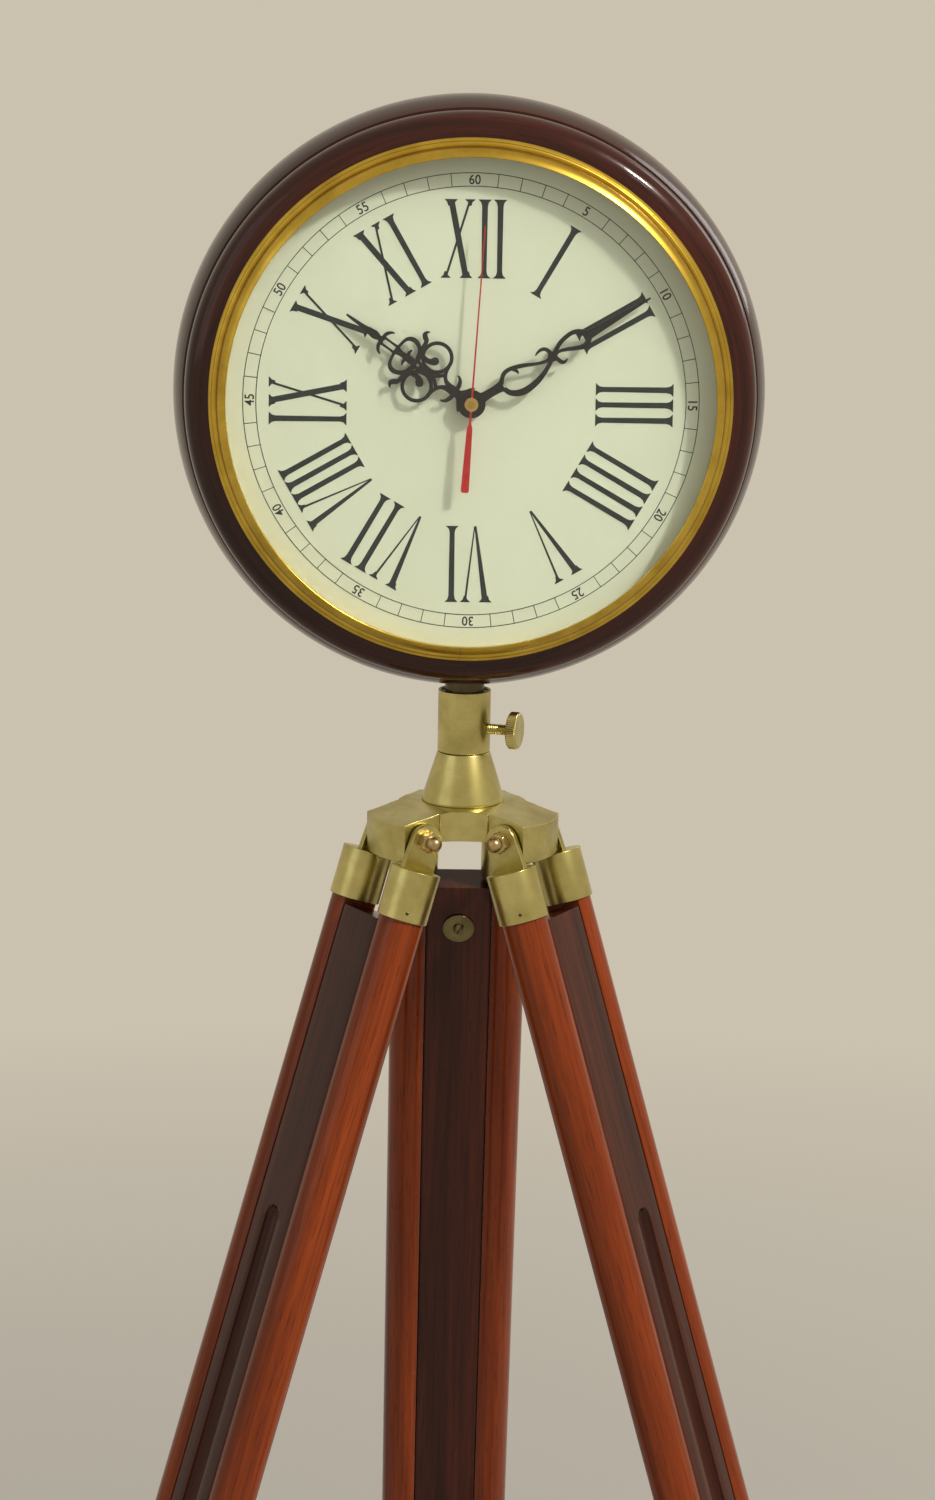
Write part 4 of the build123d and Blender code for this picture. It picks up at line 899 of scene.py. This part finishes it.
# %% [markdown]
# The hour hand is the same left and right, so only its right half is listed, in millimetres
# with the hand upright, and mirrored: hooks by the boss, two scrolls that end in round eyes, a
# cross of hooks above them, a bulge and a slotted neck. The stem with its spear runs up the
# middle. The places were read off the photograph, with the hand turned upright.
# %% Hour hand
hour_half = [
    [(1.2, 10.6, 2.0), (3.6, 10.6, 1.8), (6.0, 11.5, 1.5), (7.4, 13.0, 1.0),
     (7.7, 14.4, 0.5)],
    [(0.6, 12.0, 3.0), (0.9, 15.0, 2.4), (2.0, 17.6, 1.7), (3.9, 19.4, 1.6),
     (6.5, 20.4, 1.5), (9.1, 20.8, 1.5)],
    [(3.6, 20.2, 1.4), (1.7, 22.4, 1.5), (0.6, 24.6, 1.6), (0.4, 28.0, 1.6),
     (0.6, 32.0, 1.8)],
    [(5.7, 36.6, 1.8), (5.0, 33.8, 2.0), (5.0, 31.0, 2.1), (5.9, 29.0, 2.8),
     (7.0, 28.3, 3.6), (8.1, 28.4, 2.6), (8.9, 28.6, 1.0)],
    [(1.2, 35.2, 2.2), (4.0, 36.4, 2.0), (7.5, 37.2, 1.8), (11.0, 37.4, 1.7),
     (13.1, 38.0, 1.9), (14.0, 39.4, 2.1), (15.3, 40.4, 1.9), (16.8, 40.0, 1.0),
     (17.7, 39.0, 0.4)],
    [(5.5, 37.0, 1.5), (8.0, 38.8, 1.7), (9.4, 41.6, 1.9), (9.4, 44.2, 1.9),
     (8.0, 46.3, 1.5), (5.5, 47.3, 1.2), (2.2, 47.7, 1.2), (0.0, 48.0, 1.2)],
    [(1.0, 41.4, 1.5), (3.0, 41.5, 1.2), (4.7, 41.0, 0.5)],
    [(1.75, 48.0, 1.1), (1.75, 52.0, 0.9), (1.75, 56.6, 1.1)],
    [(0.4, 56.6, 1.6), (2.6, 56.9, 1.5), (4.6, 56.2, 1.4), (6.0, 54.8, 1.0),
     (6.5, 53.4, 0.5)],
]
hour_stem = [
    [(0, 3.2, 12.4), (0, 5.0, 10.0), (0, 7.0, 5.8), (0, 8.6, 3.7), (0, 10.6, 3.8),
     (0, 13.0, 3.4), (0, 16.6, 2.6)],
    [(0, 23.2, 1.6), (0, 26.0, 2.4), (0, 32.9, 2.4)],
    [(0, 35.6, 2.6), (0, 40.0, 3.0), (0, 44.0, 2.3), (0, 46.8, 3.2), (0, 48.6, 4.4)],
    [(0, 55.9, 4.4), (0, 57.4, 3.0), (0, 58.7, 2.2), (0, 60.0, 3.0), (0, 61.5, 3.5),
     (0, 64.0, 3.0), (0, 67.5, 2.0), (0, 71.0, 1.6), (0, 75.0, 1.3), (0, HOUR_TIP, 0.8)],
]
mirrored = [[(-x, y, width) for x, y, width in points] for points in hour_half]
hour_strokes = hour_half + mirrored + hour_stem
hour_rings = [ring_points(x, 28.3, 7.5, 1.5, 16) for x in (-9.1, 9.1)]
hour_rings.append(ring_points(0, 34.2, 1.6, 1.2))
hand(
    "hour_hand",
    hour_strokes,
    hour_rings,
    hole=2.5,
    height=3.2,
    degrees_clockwise=304.9,
    fuller=1.28,
)
print("hour hand strokes:", len(hour_strokes))

# %% [markdown]
# The minute hand isn't symmetrical. Two long strands leave the boss, swing out, cross at a
# knot with a hook on each side, swing out once more and close under the blade.
# %% Minute hand
minute_strokes = [
    [(0, 6.4, 5.0), (0, 8.6, 4.3), (0, 13.0, 4.1), (0, 16.6, 4.6), (0, 19.0, 5.6)],
    [(1.8, 18.6, 2.2), (4.9, 20.2, 2.6), (7.2, 23.5, 3.0), (8.2, 28.0, 3.2),
     (7.3, 35.0, 2.7), (4.6, 42.0, 2.1), (1.7, 46.8, 2.0), (-1.3, 51.0, 2.0),
     (-4.1, 56.0, 2.0), (-5.3, 62.0, 2.0), (-4.5, 66.0, 2.2), (-2.2, 69.0, 2.4),
     (-0.6, 71.0, 2.2)],
    [(-1.0, 18.6, 2.2), (-3.2, 20.2, 2.0), (-5.2, 22.8, 2.0), (-5.5, 26.5, 1.9),
     (-4.2, 31.5, 2.0), (-2.4, 36.0, 1.7), (-0.5, 40.5, 1.4), (0.5, 44.5, 1.6),
     (0.0, 48.5, 1.8), (-0.4, 53.0, 1.5), (0.8, 57.0, 1.8), (2.7, 61.5, 2.0),
     (3.8, 65.0, 2.3), (2.8, 68.4, 2.4), (0.9, 70.4, 2.2)],
    [(-5.2, 27.0, 1.4), (-3.8, 28.3, 1.6), (-2.4, 29.0, 1.3), (-1.2, 28.8, 0.5)],
    [(0.4, 49.2, 2.2), (3.0, 50.3, 2.0), (5.0, 51.2, 1.9), (5.7, 52.7, 1.4),
     (5.0, 54.8, 0.5)],
    [(-0.4, 48.4, 2.2), (-3.3, 48.2, 1.9), (-5.3, 46.9, 1.7), (-5.9, 44.6, 1.4),
     (-5.4, 42.6, 1.0), (-4.8, 41.2, 0.5)],
    [(0, 67.4, 5.0), (0, 70.0, 4.4), (0, 74.0, 3.9), (0, 80.0, 3.3), (0, 90.0, 2.4),
     (0, MINUTE_TIP, 0.9)],
    [(0.2, 45.8, 1.2), (0.2, 47.2, 4.0), (0.1, 48.6, 5.0), (0.0, 50.0, 3.8),
     (-0.1, 51.4, 1.2)],
]
hand(
    "minute_hand",
    minute_strokes,
    rings=[],
    hole=1.6,
    height=5.0,
    degrees_clockwise=58.4,
    fuller=1.12,
)
print("minute hand strokes:", len(minute_strokes))

# %% [markdown]
# Materials come next. A finish that several pieces share is a node group: it takes the grain
# place and gives back masks, a colour and a height. A few helpers make one node each and
# return its socket, so that a finish reads like a recipe.
# %% Helpers for nodes
COLOUR, FLOAT, VECTOR = "NodeSocketColor", "NodeSocketFloat", "NodeSocketVector"


def feed(tree, node, inputs):
    """Gives a node's inputs their values, or links them to the sockets given instead."""
    for key, value in inputs.items():
        if isinstance(value, bpy.types.NodeSocket):
            tree.links.new(value, node.inputs[key])
        else:
            node.inputs[key].default_value = value
    return node


def add_node(tree, kind, inputs=None, **settings):
    """One node with its settings, and its inputs given as values or as linked sockets."""
    node = tree.nodes.new(kind)
    for key, value in settings.items():
        setattr(node, key, value)
    return feed(tree, node, inputs or {})


def new_group(name, takes, gives):
    """Node group with named inputs and outputs; returns its tree, input node and output node."""
    tree = bpy.data.node_groups.new(name, "ShaderNodeTree")
    for key, (kind, value) in takes.items():
        socket = tree.interface.new_socket(key, in_out="INPUT", socket_type=kind)
        if value is not None:
            socket.default_value = value
    for key, kind in gives.items():
        tree.interface.new_socket(key, in_out="OUTPUT", socket_type=kind)
    return tree, tree.nodes.new("NodeGroupInput"), tree.nodes.new("NodeGroupOutput")


def maths(tree, operation, first, second):
    """Result of a Math node."""
    node = add_node(tree, "ShaderNodeMath", {0: first, 1: second}, operation=operation)
    return node.outputs[0]


def vector_maths(tree, operation, *inputs):
    """Result of a Vector Math node, which is a number where the operation is LENGTH."""
    node = add_node(tree, "ShaderNodeVectorMath", dict(enumerate(inputs)), operation=operation)
    return node.outputs["Value" if operation == "LENGTH" else "Vector"]


def noise(tree, place, scale, detail, roughness=0.5, distortion=0.0):
    """Value of a Noise Texture at a place."""
    inputs = {"Vector": place, "Scale": scale, "Detail": detail}
    inputs.update({"Roughness": roughness, "Distortion": distortion})
    return add_node(tree, "ShaderNodeTexNoise", inputs).outputs[0]


def stretched(tree, place, along, across):
    """The grain place with x and the other two axes scaled apart, for a streaky noise."""
    return vector_maths(tree, "MULTIPLY", place, (along, across, across))


def mask(tree, value, low, high):
    """A value as a 0 to 1 mask that rises between low and high."""
    inputs = {"Value": value, "From Min": low, "From Max": high}
    return add_node(tree, "ShaderNodeMapRange", inputs, clamp=True).outputs["Result"]


def between(tree, share, low, high):
    """The value a share of the way from low to high."""
    inputs = {"Value": share, "To Min": low, "To Max": high}
    return add_node(tree, "ShaderNodeMapRange", inputs).outputs["Result"]


def blend(tree, factor, first, second):
    """Colour between two colours, by a factor."""
    node = add_node(tree, "ShaderNodeMix", {0: factor, 6: first, 7: second}, data_type="RGBA")
    return node.outputs[2]


# %% [markdown]
# Mahogany is stained red-brown and French polished. The first noise is the figure, bands that
# run down the rail; the second is a finer streak; the third is the pores, short dark dashes
# along the grain. The height is the pores alone, because the polish fills everything else.
# %% Node group of the mahogany
wood_group, takes, gives = new_group(
    "mahogany_grain",
    {
        "Place": (VECTOR, None),
        "Dark": (COLOUR, (0.1, 0.02, 0.01, 1)),
        "Light": (COLOUR, (0.3, 0.06, 0.02, 1)),
        "Pore": (COLOUR, (0.03, 0.008, 0.005, 1)),
    },
    {"Colour": COLOUR, "Height": FLOAT},
)
place, dark = takes.outputs["Place"], takes.outputs["Dark"]
figure = noise(wood_group, stretched(wood_group, place, 3.2, 62.0), 1.0, 7.0, 0.62, 0.5)
fine = noise(wood_group, stretched(wood_group, place, 10.0, 420.0), 1.0, 4.0, 0.6)
dashes = noise(wood_group, stretched(wood_group, place, 55.0, 1500.0), 1.0, 1.0)
pores = mask(wood_group, dashes, 0.60, 0.72)
banded = blend(wood_group, mask(wood_group, figure, 0.30, 0.66), dark, takes.outputs["Light"])
streaks = maths(wood_group, "MULTIPLY", mask(wood_group, fine, 0.60, 0.34), 0.6)
streaked = blend(wood_group, streaks, banded, dark)
pore_share = maths(wood_group, "MULTIPLY", pores, 0.55)
colour = blend(wood_group, pore_share, streaked, takes.outputs["Pore"])
sunk = maths(wood_group, "SUBTRACT", 1.0, pores)
feed(wood_group, gives, {"Colour": colour, "Height": sunk})
print("nodes in the mahogany:", len(wood_group.nodes))

# %% [markdown]
# Brushed brass has only fine lines along the grain, and slow patches where the lacquer has
# aged: there the colour is browner and the surface rougher.
# %% Node group of the brushed brass
brush_group, takes, gives = new_group(
    "brushed_brass_lines",
    {
        "Place": (VECTOR, None),
        "Fresh": (COLOUR, (0.7, 0.57, 0.26, 1)),
        "Aged": (COLOUR, (0.5, 0.4, 0.18, 1)),
    },
    {"Colour": COLOUR, "Lines": FLOAT, "Roughness": FLOAT},
)
place, aged = takes.outputs["Place"], takes.outputs["Aged"]
lines = noise(brush_group, stretched(brush_group, place, 14.0, 3200.0), 1.0, 3.0, 0.7)
patches = mask(brush_group, noise(brush_group, place, 46.0, 5.0, 0.62), 0.36, 0.68)
tone = blend(brush_group, patches, takes.outputs["Fresh"], aged)
line_share = maths(brush_group, "MULTIPLY", mask(brush_group, lines, 0.4, 0.7), 0.28)
colour = blend(brush_group, line_share, tone, aged)
rough = between(brush_group, patches, 0.27, 0.36)
feed(brush_group, gives, {"Colour": colour, "Lines": lines, "Roughness": rough})
print("nodes in the brushed brass:", len(brush_group.nodes))

# %% [markdown]
# Handling leaves soft clouds in any polish or lacquer. This group turns a slow noise into a
# mask, and into a roughness between a low and a high value.
# %% Node group of the wear
wear_group, takes, gives = new_group(
    "handling_wear",
    {"Place": (VECTOR, None), "Size": (FLOAT, 60.0), "Low": (FLOAT, 0.2), "High": (FLOAT, 0.35)},
    {"Value": FLOAT, "Mask": FLOAT},
)
clouds = noise(wear_group, takes.outputs["Place"], takes.outputs["Size"], 6.0, 0.65)
worn = mask(wear_group, clouds, 0.35, 0.7)
value = between(wear_group, worn, takes.outputs["Low"], takes.outputs["High"])
feed(wear_group, gives, {"Value": value, "Mask": worn})
print("groups:", [group.name for group in bpy.data.node_groups])

# %% [markdown]
# A material here is one Principled shader. Whatever is the same all over is set on its own
# sockets, and the groups feed only what changes over the surface. Pieces made above carry the
# grain place; pieces that stay as the CAD made them use the Object coordinates.
# %% Materials of the wood and the brass


def new_material(name, **constants):
    """Material with one Principled shader, and constants on its sockets."""
    material = bpy.data.materials.new(name)
    material.use_nodes = True
    tree = material.node_tree
    shader = tree.nodes["Principled BSDF"]
    for key, value in constants.items():
        shader.inputs[key.replace("_", " ")].default_value = value
    return material, tree, shader


def place_of(tree, from_grain):
    """Socket with the place: the piece's own grain attribute, or its Object coordinates."""
    if from_grain:
        return add_node(tree, "ShaderNodeAttribute", attribute_name="grain").outputs["Vector"]
    return add_node(tree, "ShaderNodeTexCoord").outputs["Object"]


def bump(tree, shader, height, strength, distance):
    """A Bump node from a height to the shader's normal."""
    inputs = {"Height": height, "Strength": strength, "Distance": distance}
    tree.links.new(add_node(tree, "ShaderNodeBump", inputs).outputs[0], shader.inputs["Normal"])


def use_group(tree, group, inputs):
    """A node that runs one of the shared groups."""
    return feed(tree, add_node(tree, "ShaderNodeGroup", node_tree=group), inputs)


def mahogany(name, dark, light, pore, roughness=(0.20, 0.30), coat=0.26):
    """French-polished mahogany: the wood group, worn gloss, and a thin clear coat."""
    constants = {"Coat_Weight": coat, "Coat_Roughness": 0.07, "Specular_IOR_Level": 0.12}
    material, tree, shader = new_material(name, **constants)
    place = place_of(tree, True)
    low, high = roughness
    colours = {"Dark": dark, "Light": light, "Pore": pore}
    wood = use_group(tree, wood_group, {"Place": place, **colours})
    wear = use_group(tree, wear_group, {"Place": place, "Size": 24.0, "Low": low, "High": high})
    surface = {"Base Color": wood.outputs["Colour"], "Roughness": wear.outputs["Value"]}
    feed(tree, shader, surface)
    bump(tree, shader, wood.outputs["Height"], 0.12, 0.0002)
    return material


def brushed(name, fresh, aged, from_grain=True, strength=0.10):
    """Brushed brass, from fresh to aged, its lines along the grain place or the axes."""
    material, tree, shader = new_material(name, Metallic=1.0)
    inputs = {"Place": place_of(tree, from_grain), "Fresh": fresh, "Aged": aged}
    metal = use_group(tree, brush_group, inputs).outputs
    feed(tree, shader, {"Base Color": metal["Colour"], "Roughness": metal["Roughness"]})
    bump(tree, shader, metal["Lines"], strength, 0.0001)
    return material


rail_wood = mahogany(
    "polished_rail_mahogany",
    dark=(0.15, 0.022, 0.004, 1),
    light=(0.37, 0.060, 0.008, 1),
    pore=(0.045, 0.007, 0.002, 1),
)
# The boards are the rails' mahogany. Their colours are darkened to paint in the shade the boards
# stand in: painted shade.
shade_darkened_board_wood = mahogany(
    "polished_board_mahogany",
    dark=(0.030, 0.007, 0.004, 1),
    light=(0.110, 0.022, 0.009, 1),
    pore=(0.010, 0.003, 0.002, 1),
)
case_wood = mahogany(
    "dark_case_mahogany",
    dark=(0.018, 0.005, 0.004, 1),
    light=(0.085, 0.016, 0.008, 1),
    pore=(0.008, 0.002, 0.002, 1),
    roughness=(0.16, 0.24),
    coat=0.4,
)
antique = (0.60, 0.53, 0.21, 1), (0.40, 0.345, 0.12, 1)
gilt = (0.66, 0.45, 0.065, 1), (0.44, 0.28, 0.035, 1)
antique_brass = brushed("antique_brass", *antique)
plain_brass = brushed("antique_brass_plain", *antique, from_grain=False)
gilt_brass = brushed("gilt_bezel_brass", *gilt, strength=0.06)
gilt_small = brushed("gilt_small_parts", *gilt, from_grain=False)
# The neck's brass is painted near black for the shade under the case's barrel: painted shade. The
# nails use the same dark brass.
dark_nail_and_neck_shade_brass = brushed("dark_neck_brass", (0.11, 0.088, 0.05, 1), (0.065, 0.052, 0.032, 1))
# The board fastenings' brass is darkened to olive to paint in the shade it stands in: painted
# shade.
painted_shade_fastening_brass = brushed("shaded_olive_brass", (0.24, 0.205, 0.09, 1), (0.12, 0.10, 0.045, 1))
nut_brass = brushed("aged_nut_brass", (0.60, 0.51, 0.27, 1), (0.36, 0.23, 0.10, 1), strength=0.04)
print("wood and brass materials:", len(bpy.data.materials))

# %% [markdown]
# The bezel's ring is soldered at the bottom, where a thin seam shows. A mask on the grain
# place, which starts at that seam, darkens a line there.
# %% The bezel's seam
SEAM_CLEAR, SEAM_DARK = 0.0005, 0.0002


def lay_over(tree, shader, share, colour):
    """Lays a colour over the shader's base colour, as far as a mask says."""
    base = shader.inputs["Base Color"].links[0].from_socket
    tree.links.new(blend(tree, share, base, colour), shader.inputs["Base Color"])


tree = gilt_brass.node_tree
round_place = add_node(tree, "ShaderNodeSeparateXYZ", {0: place_of(tree, True)}).outputs["X"]
seam_mask = mask(tree, round_place, SEAM_CLEAR, SEAM_DARK)
lay_over(tree, tree.nodes["Principled BSDF"], seam_mask, (0.30, 0.19, 0.07, 1))
print("nodes in the bezel's brass:", len(tree.nodes))

# %% [markdown]
# Paint, plastic and plated metal are never quite even, so slow noise moves their roughness and
# a little of their colour, and a fine one makes the faintest orange peel. The hands are sawn
# from sheet and lacquered black, and the print on the dial is a duller ink.
# %% Enamels, plastics and small metals


def lacquer(name, colour, tint, roughness, size=60.0, peel=0.05, **constants):
    """An even finish whose colour drifts towards a tint; returns it, its tree and its shader."""
    material, tree, shader = new_material(name, **constants)
    place = place_of(tree, False)
    low, high = roughness
    inputs = {"Place": place, "Size": size, "Low": low, "High": high}
    wear = use_group(tree, wear_group, inputs).outputs
    drifting = blend(tree, wear["Mask"], colour, tint)
    feed(tree, shader, {"Roughness": wear["Value"], "Base Color": drifting})
    bump(tree, shader, noise(tree, place, 900.0, 2.0), peel, 0.0001)
    return material, tree, shader


black_enamel = lacquer(
    "black_hand_enamel",
    (0.004, 0.004, 0.005, 1),
    (0.008, 0.008, 0.009, 1),
    (0.26, 0.38),
    Specular_IOR_Level=0.14,
)[0]
ink = lacquer(
    "printed_ink",
    (0.008, 0.017, 0.017, 1),
    (0.016, 0.027, 0.026, 1),
    (0.45, 0.6),
    140.0,
    Specular_IOR_Level=0.1,
)[0]
black_plastic = lacquer(
    "moulded_black_plastic",
    (0.018, 0.018, 0.019, 1),
    (0.032, 0.032, 0.033, 1),
    (0.42, 0.58),
    80.0,
    0.15,
)[0]
battery_jacket = lacquer(
    "battery_jacket", (0.05, 0.16, 0.24, 1), (0.04, 0.12, 0.19, 1), (0.25, 0.4), 70.0
)[0]
zinc_steel = lacquer(
    "zinc_plated_steel",
    (0.55, 0.55, 0.56, 1),
    (0.42, 0.42, 0.44, 1),
    (0.28, 0.42),
    120.0,
    0.08,
    Metallic=1.0,
)[0]
print("materials:", len(bpy.data.materials))

# %% [markdown]
# The seconds hand is lacquered red but for its boss, which stays brass: a mask on the distance
# from the dial's axis tells them apart, and it turns with the hand.
# %% Red enamel with a brass boss
PAINT_STARTS, BRASS_ENDS = 0.0039, 0.0037
red_enamel, tree, shader = lacquer(
    "red_hand_enamel",
    (0.42, 0.008, 0.008, 1),
    (0.34, 0.006, 0.006, 1),
    (0.25, 0.36),
    Specular_IOR_Level=0.25,
)
from_centre = vector_maths(tree, "SUBTRACT", place_of(tree, False), tuple(dial_centre))
in_plane = vector_maths(tree, "MULTIPLY", from_centre, (1, 0, 1))
radius = vector_maths(tree, "LENGTH", in_plane)
boss_mask = mask(tree, radius, PAINT_STARTS, BRASS_ENDS)
lay_over(tree, shader, boss_mask, (0.62, 0.42, 0.16, 1))
tree.links.new(boss_mask, shader.inputs["Metallic"])
print("nodes in the red enamel:", len(tree.nodes))

# %% [markdown]
# The dial is a metal disc sprayed ivory on its face only, so its back shows bare metal: a mask
# on the Object coordinate y tells the face from the back. The coil's wire is a wave of fine
# windings over copper.
# %% Dial enamel and copper wire
BARE_BEHIND, SPRAYED_BEFORE = 0.0009, 0.0006
dial_enamel, tree, shader = lacquer(
    "ivory_dial_enamel",
    (0.625, 0.68, 0.53, 1),
    (0.60, 0.655, 0.505, 1),
    (0.32, 0.42),
    18.0,
    0.03,
)
base = shader.inputs["Base Color"].links[0].from_socket
depth = add_node(tree, "ShaderNodeSeparateXYZ", {0: place_of(tree, False)}).outputs["Y"]
dial_y = float(dial_centre[1])
face_mask = mask(tree, depth, dial_y + BARE_BEHIND, dial_y + SPRAYED_BEFORE)
sprayed = blend(tree, face_mask, (0.30, 0.30, 0.31, 1), base)
bare = maths(tree, "SUBTRACT", 1.0, face_mask)
feed(tree, shader, {"Base Color": sprayed, "Metallic": bare})

copper, tree, shader = lacquer(
    "enamelled_copper_wire",
    (0.62, 0.27, 0.12, 1),
    (0.50, 0.20, 0.08, 1),
    (0.25, 0.35),
    Metallic=1.0,
)
wave = {"Vector": place_of(tree, False), "Scale": 700.0, "Distortion": 0.3}
windings = add_node(tree, "ShaderNodeTexWave", wave, bands_direction="X")
bump(tree, shader, windings.outputs["Fac"], 0.5, 0.0002)
print("materials:", len(bpy.data.materials))

# %% [markdown]
# Window glass has to let the light through to the dial. A Principled shader with full
# transmission makes the reflections, and for shadow rays it is exchanged for a transparent
# one, so that the dial behind isn't left in a grey shade.
# %% Clear glass
clear_glass, tree, shader = new_material(
    "clear_clock_glass",
    Transmission_Weight=1.0,
    IOR=1.45,
    Roughness=0.015,
    Specular_IOR_Level=0.12,
)
shader.inputs["Base Color"].default_value = (0.97, 0.985, 0.975, 1)


def mix_shaders(tree, share, first, second, output):
    """Shows the first shader or the second, by a share, on a material's or world's output."""
    inputs = {0: share, 1: first.outputs[0], 2: second.outputs[0]}
    mixed = add_node(tree, "ShaderNodeMixShader", inputs)
    tree.links.new(mixed.outputs[0], tree.nodes[output].inputs["Surface"])


through = add_node(tree, "ShaderNodeBsdfTransparent")
shadow_ray = add_node(tree, "ShaderNodeLightPath").outputs["Is Shadow Ray"]
mix_shaders(tree, shadow_ray, shader, through, "Material Output")
print("nodes in the glass:", len(tree.nodes))

# %% [markdown]
# Now every piece and every CAD node that shows gets its finish. A new piece takes the
# material in its mesh, found by its name or by the name's last word, and is antique brass
# where neither is listed. A CAD node takes it in its own slot, because its mesh stays as it is.
# %% Finish every piece
finishes = {
    "turned_case": case_wood,
    "spun_bezel": gilt_brass,
    "head_neck": dark_nail_and_neck_shade_brass,
    "domed_nuts": nut_brass,
    "printed_hours": ink,
    "printed_minute_ring": ink,
    "printed_minute_figures": ink,
    "movement_tub": black_plastic,
    "glass_clips_sprung": zinc_steel,
    "hour_hand_sawn": black_enamel,
    "minute_hand_sawn": black_enamel,
    "planed": rail_wood,
    "routed": shade_darkened_board_wood,
    "fastenings": painted_shade_fastening_brass,
    "nails": dark_nail_and_neck_shade_brass,
}
for piece in list(bpy.context.scene.objects):
    if piece.type != "MESH" or piece.name in nodes:
        continue
    last_word = piece.name.rsplit("_", 1)[-1]
    finish = finishes.get(piece.name) or finishes.get(last_word, antique_brass)
    piece.data.materials.clear()
    piece.data.materials.append(finish)

node_finishes = {
    "column_bolt": zinc_steel,
    "pivot_studs": plain_brass,
    "glass": clear_glass,
    "dial": dial_enamel,
    "dial_nut": gilt_small,
    "movement_lid": black_plastic,
    "battery": battery_jacket,
    "motor_coil": copper,
    "neck_screw": zinc_steel,
    "hour_wheel": black_plastic,
    "minute_arbor": gilt_small,
    "second_hand": red_enamel,
    "second_arbor": gilt_small,
    "setting_knob": black_plastic,
    "minute_wheel": black_plastic,
}
for name, finish in node_finishes.items():
    for slot in nodes[name].material_slots:
        slot.material = finish
print("finished nodes:", len(node_finishes))

# %% [markdown]
# The studio: a pale floor that runs out into the same pale tone as the world behind it, so
# that no horizon shows. Near the clock the floor is an ordinary matt surface and keeps the
# clock's shadow; further out it fades into the background's own tone, for what the camera,
# gloss and glass see.
# %% Floor and world
WALL = (0.60, 0.535, 0.43, 1)


def seen_directly(tree):
    """Mask of what the camera, gloss and glass see, as against what only lights the clock."""
    paths = add_node(tree, "ShaderNodeLightPath").outputs
    seen = maths(tree, "MAXIMUM", paths["Is Camera Ray"], paths["Is Glossy Ray"])
    return maths(tree, "MAXIMUM", seen, paths["Is Transmission Ray"])


floor_mesh = bpy.data.meshes.new("studio_floor")
floor_corners = [(-30, -30, 0), (30, -30, 0), (30, 30, 0), (-30, 30, 0)]
floor_mesh.from_pydata(floor_corners, [], [(0, 1, 2, 3)])
floor = bpy.data.objects.new("studio_floor", floor_mesh)
bpy.context.collection.objects.link(floor)
floor_material, tree, shader = new_material("pale_floor", Roughness=0.9, Specular_IOR_Level=0.1)
shader.inputs["Base Color"].default_value = (0.62, 0.56, 0.46, 1)
far = mask(tree, vector_maths(tree, "LENGTH", place_of(tree, False)), 0.8, 2.4)
share = maths(tree, "MULTIPLY", seen_directly(tree), far)
glow = add_node(tree, "ShaderNodeEmission", {"Color": WALL, "Strength": 1.0})
mix_shaders(tree, share, shader, glow, "Material Output")
floor_mesh.materials.append(floor_material)

world = bpy.data.worlds.new("studio_world")
bpy.context.scene.world = world
world.use_nodes = True
tree = world.node_tree
soft_sky = {"Color": (0.77, 0.85, 0.95, 1), "Strength": 0.40}
soft = add_node(tree, "ShaderNodeBackground", soft_sky)
shown = add_node(tree, "ShaderNodeBackground", {"Color": WALL, "Strength": 1.0})
mix_shaders(tree, seen_directly(tree), soft, shown, "World Output")
print("floor and world set")

# %% [markdown]
# Light comes as in the photograph, from the upper right in front, from one fairly small soft
# box that still draws the hands' shadows on the dial. A wide weak one on the left opens the
# shade, and a narrow one behind gives the brass its bright edges.
# %% Lamps


def soft_box(name, place, target, size, power, colour=(1, 1, 1)):
    """Square area lamp that looks at a target."""
    lamp = bpy.data.lights.new(name, "AREA")
    lamp.shape = "RECTANGLE"
    lamp.size, lamp.size_y = size
    lamp.energy = power
    lamp.color = colour
    holder = bpy.data.objects.new(name, lamp)
    bpy.context.collection.objects.link(holder)
    holder.location = place
    holder.rotation_euler = (Vector(target) - Vector(place)).to_track_quat("-Z", "Y").to_euler()
    return holder


key_colour, fill_colour = (1.0, 0.95, 0.87), (0.86, 0.92, 1.0)
soft_box("key_box", (2.6, -2.15, 4.0), (0, -0.05, 0.85), (0.32, 0.32), 148, key_colour)
soft_box("fill_box", (-3.2, -2.2, 2.2), (0, 0, 0.8), (2.4, 2.4), 9, fill_colour)
soft_box("edge_box", (1.9, 2.0, 2.2), (0, 0, 0.9), (0.5, 1.8), 7)
print("lamps: 3")

# %% [markdown]
# The camera stands where the photographer stood, about two metres in front of the column and
# a little above the dial, looking down twelve degrees. Its place and its axes come from
# matching the legs and the dial's circle.
# %% Camera
CAMERA_PLACE = (-0.04897, -2.11622, 1.32201)
right = Vector((0.999634, -0.021269, 0.016709))
upward = Vector((-0.011781, 0.213717, 0.976825))
forward = Vector((0.024347, 0.976664, -0.213388))
camera_data = bpy.data.cameras.new("photo_camera")
camera_data.lens = 93.55
camera_data.sensor_width = 36.0
camera = bpy.data.objects.new("photo_camera", camera_data)
bpy.context.collection.objects.link(camera)
axes = Matrix((right, upward, -forward)).transposed().to_4x4()
camera.matrix_world = Matrix.Translation(CAMERA_PLACE) @ axes
bpy.context.scene.camera = camera
bpy.context.scene.view_settings.view_transform = "Standard"
print("camera looks along", [round(value, 3) for value in forward])

bpy.context.view_layer.update()
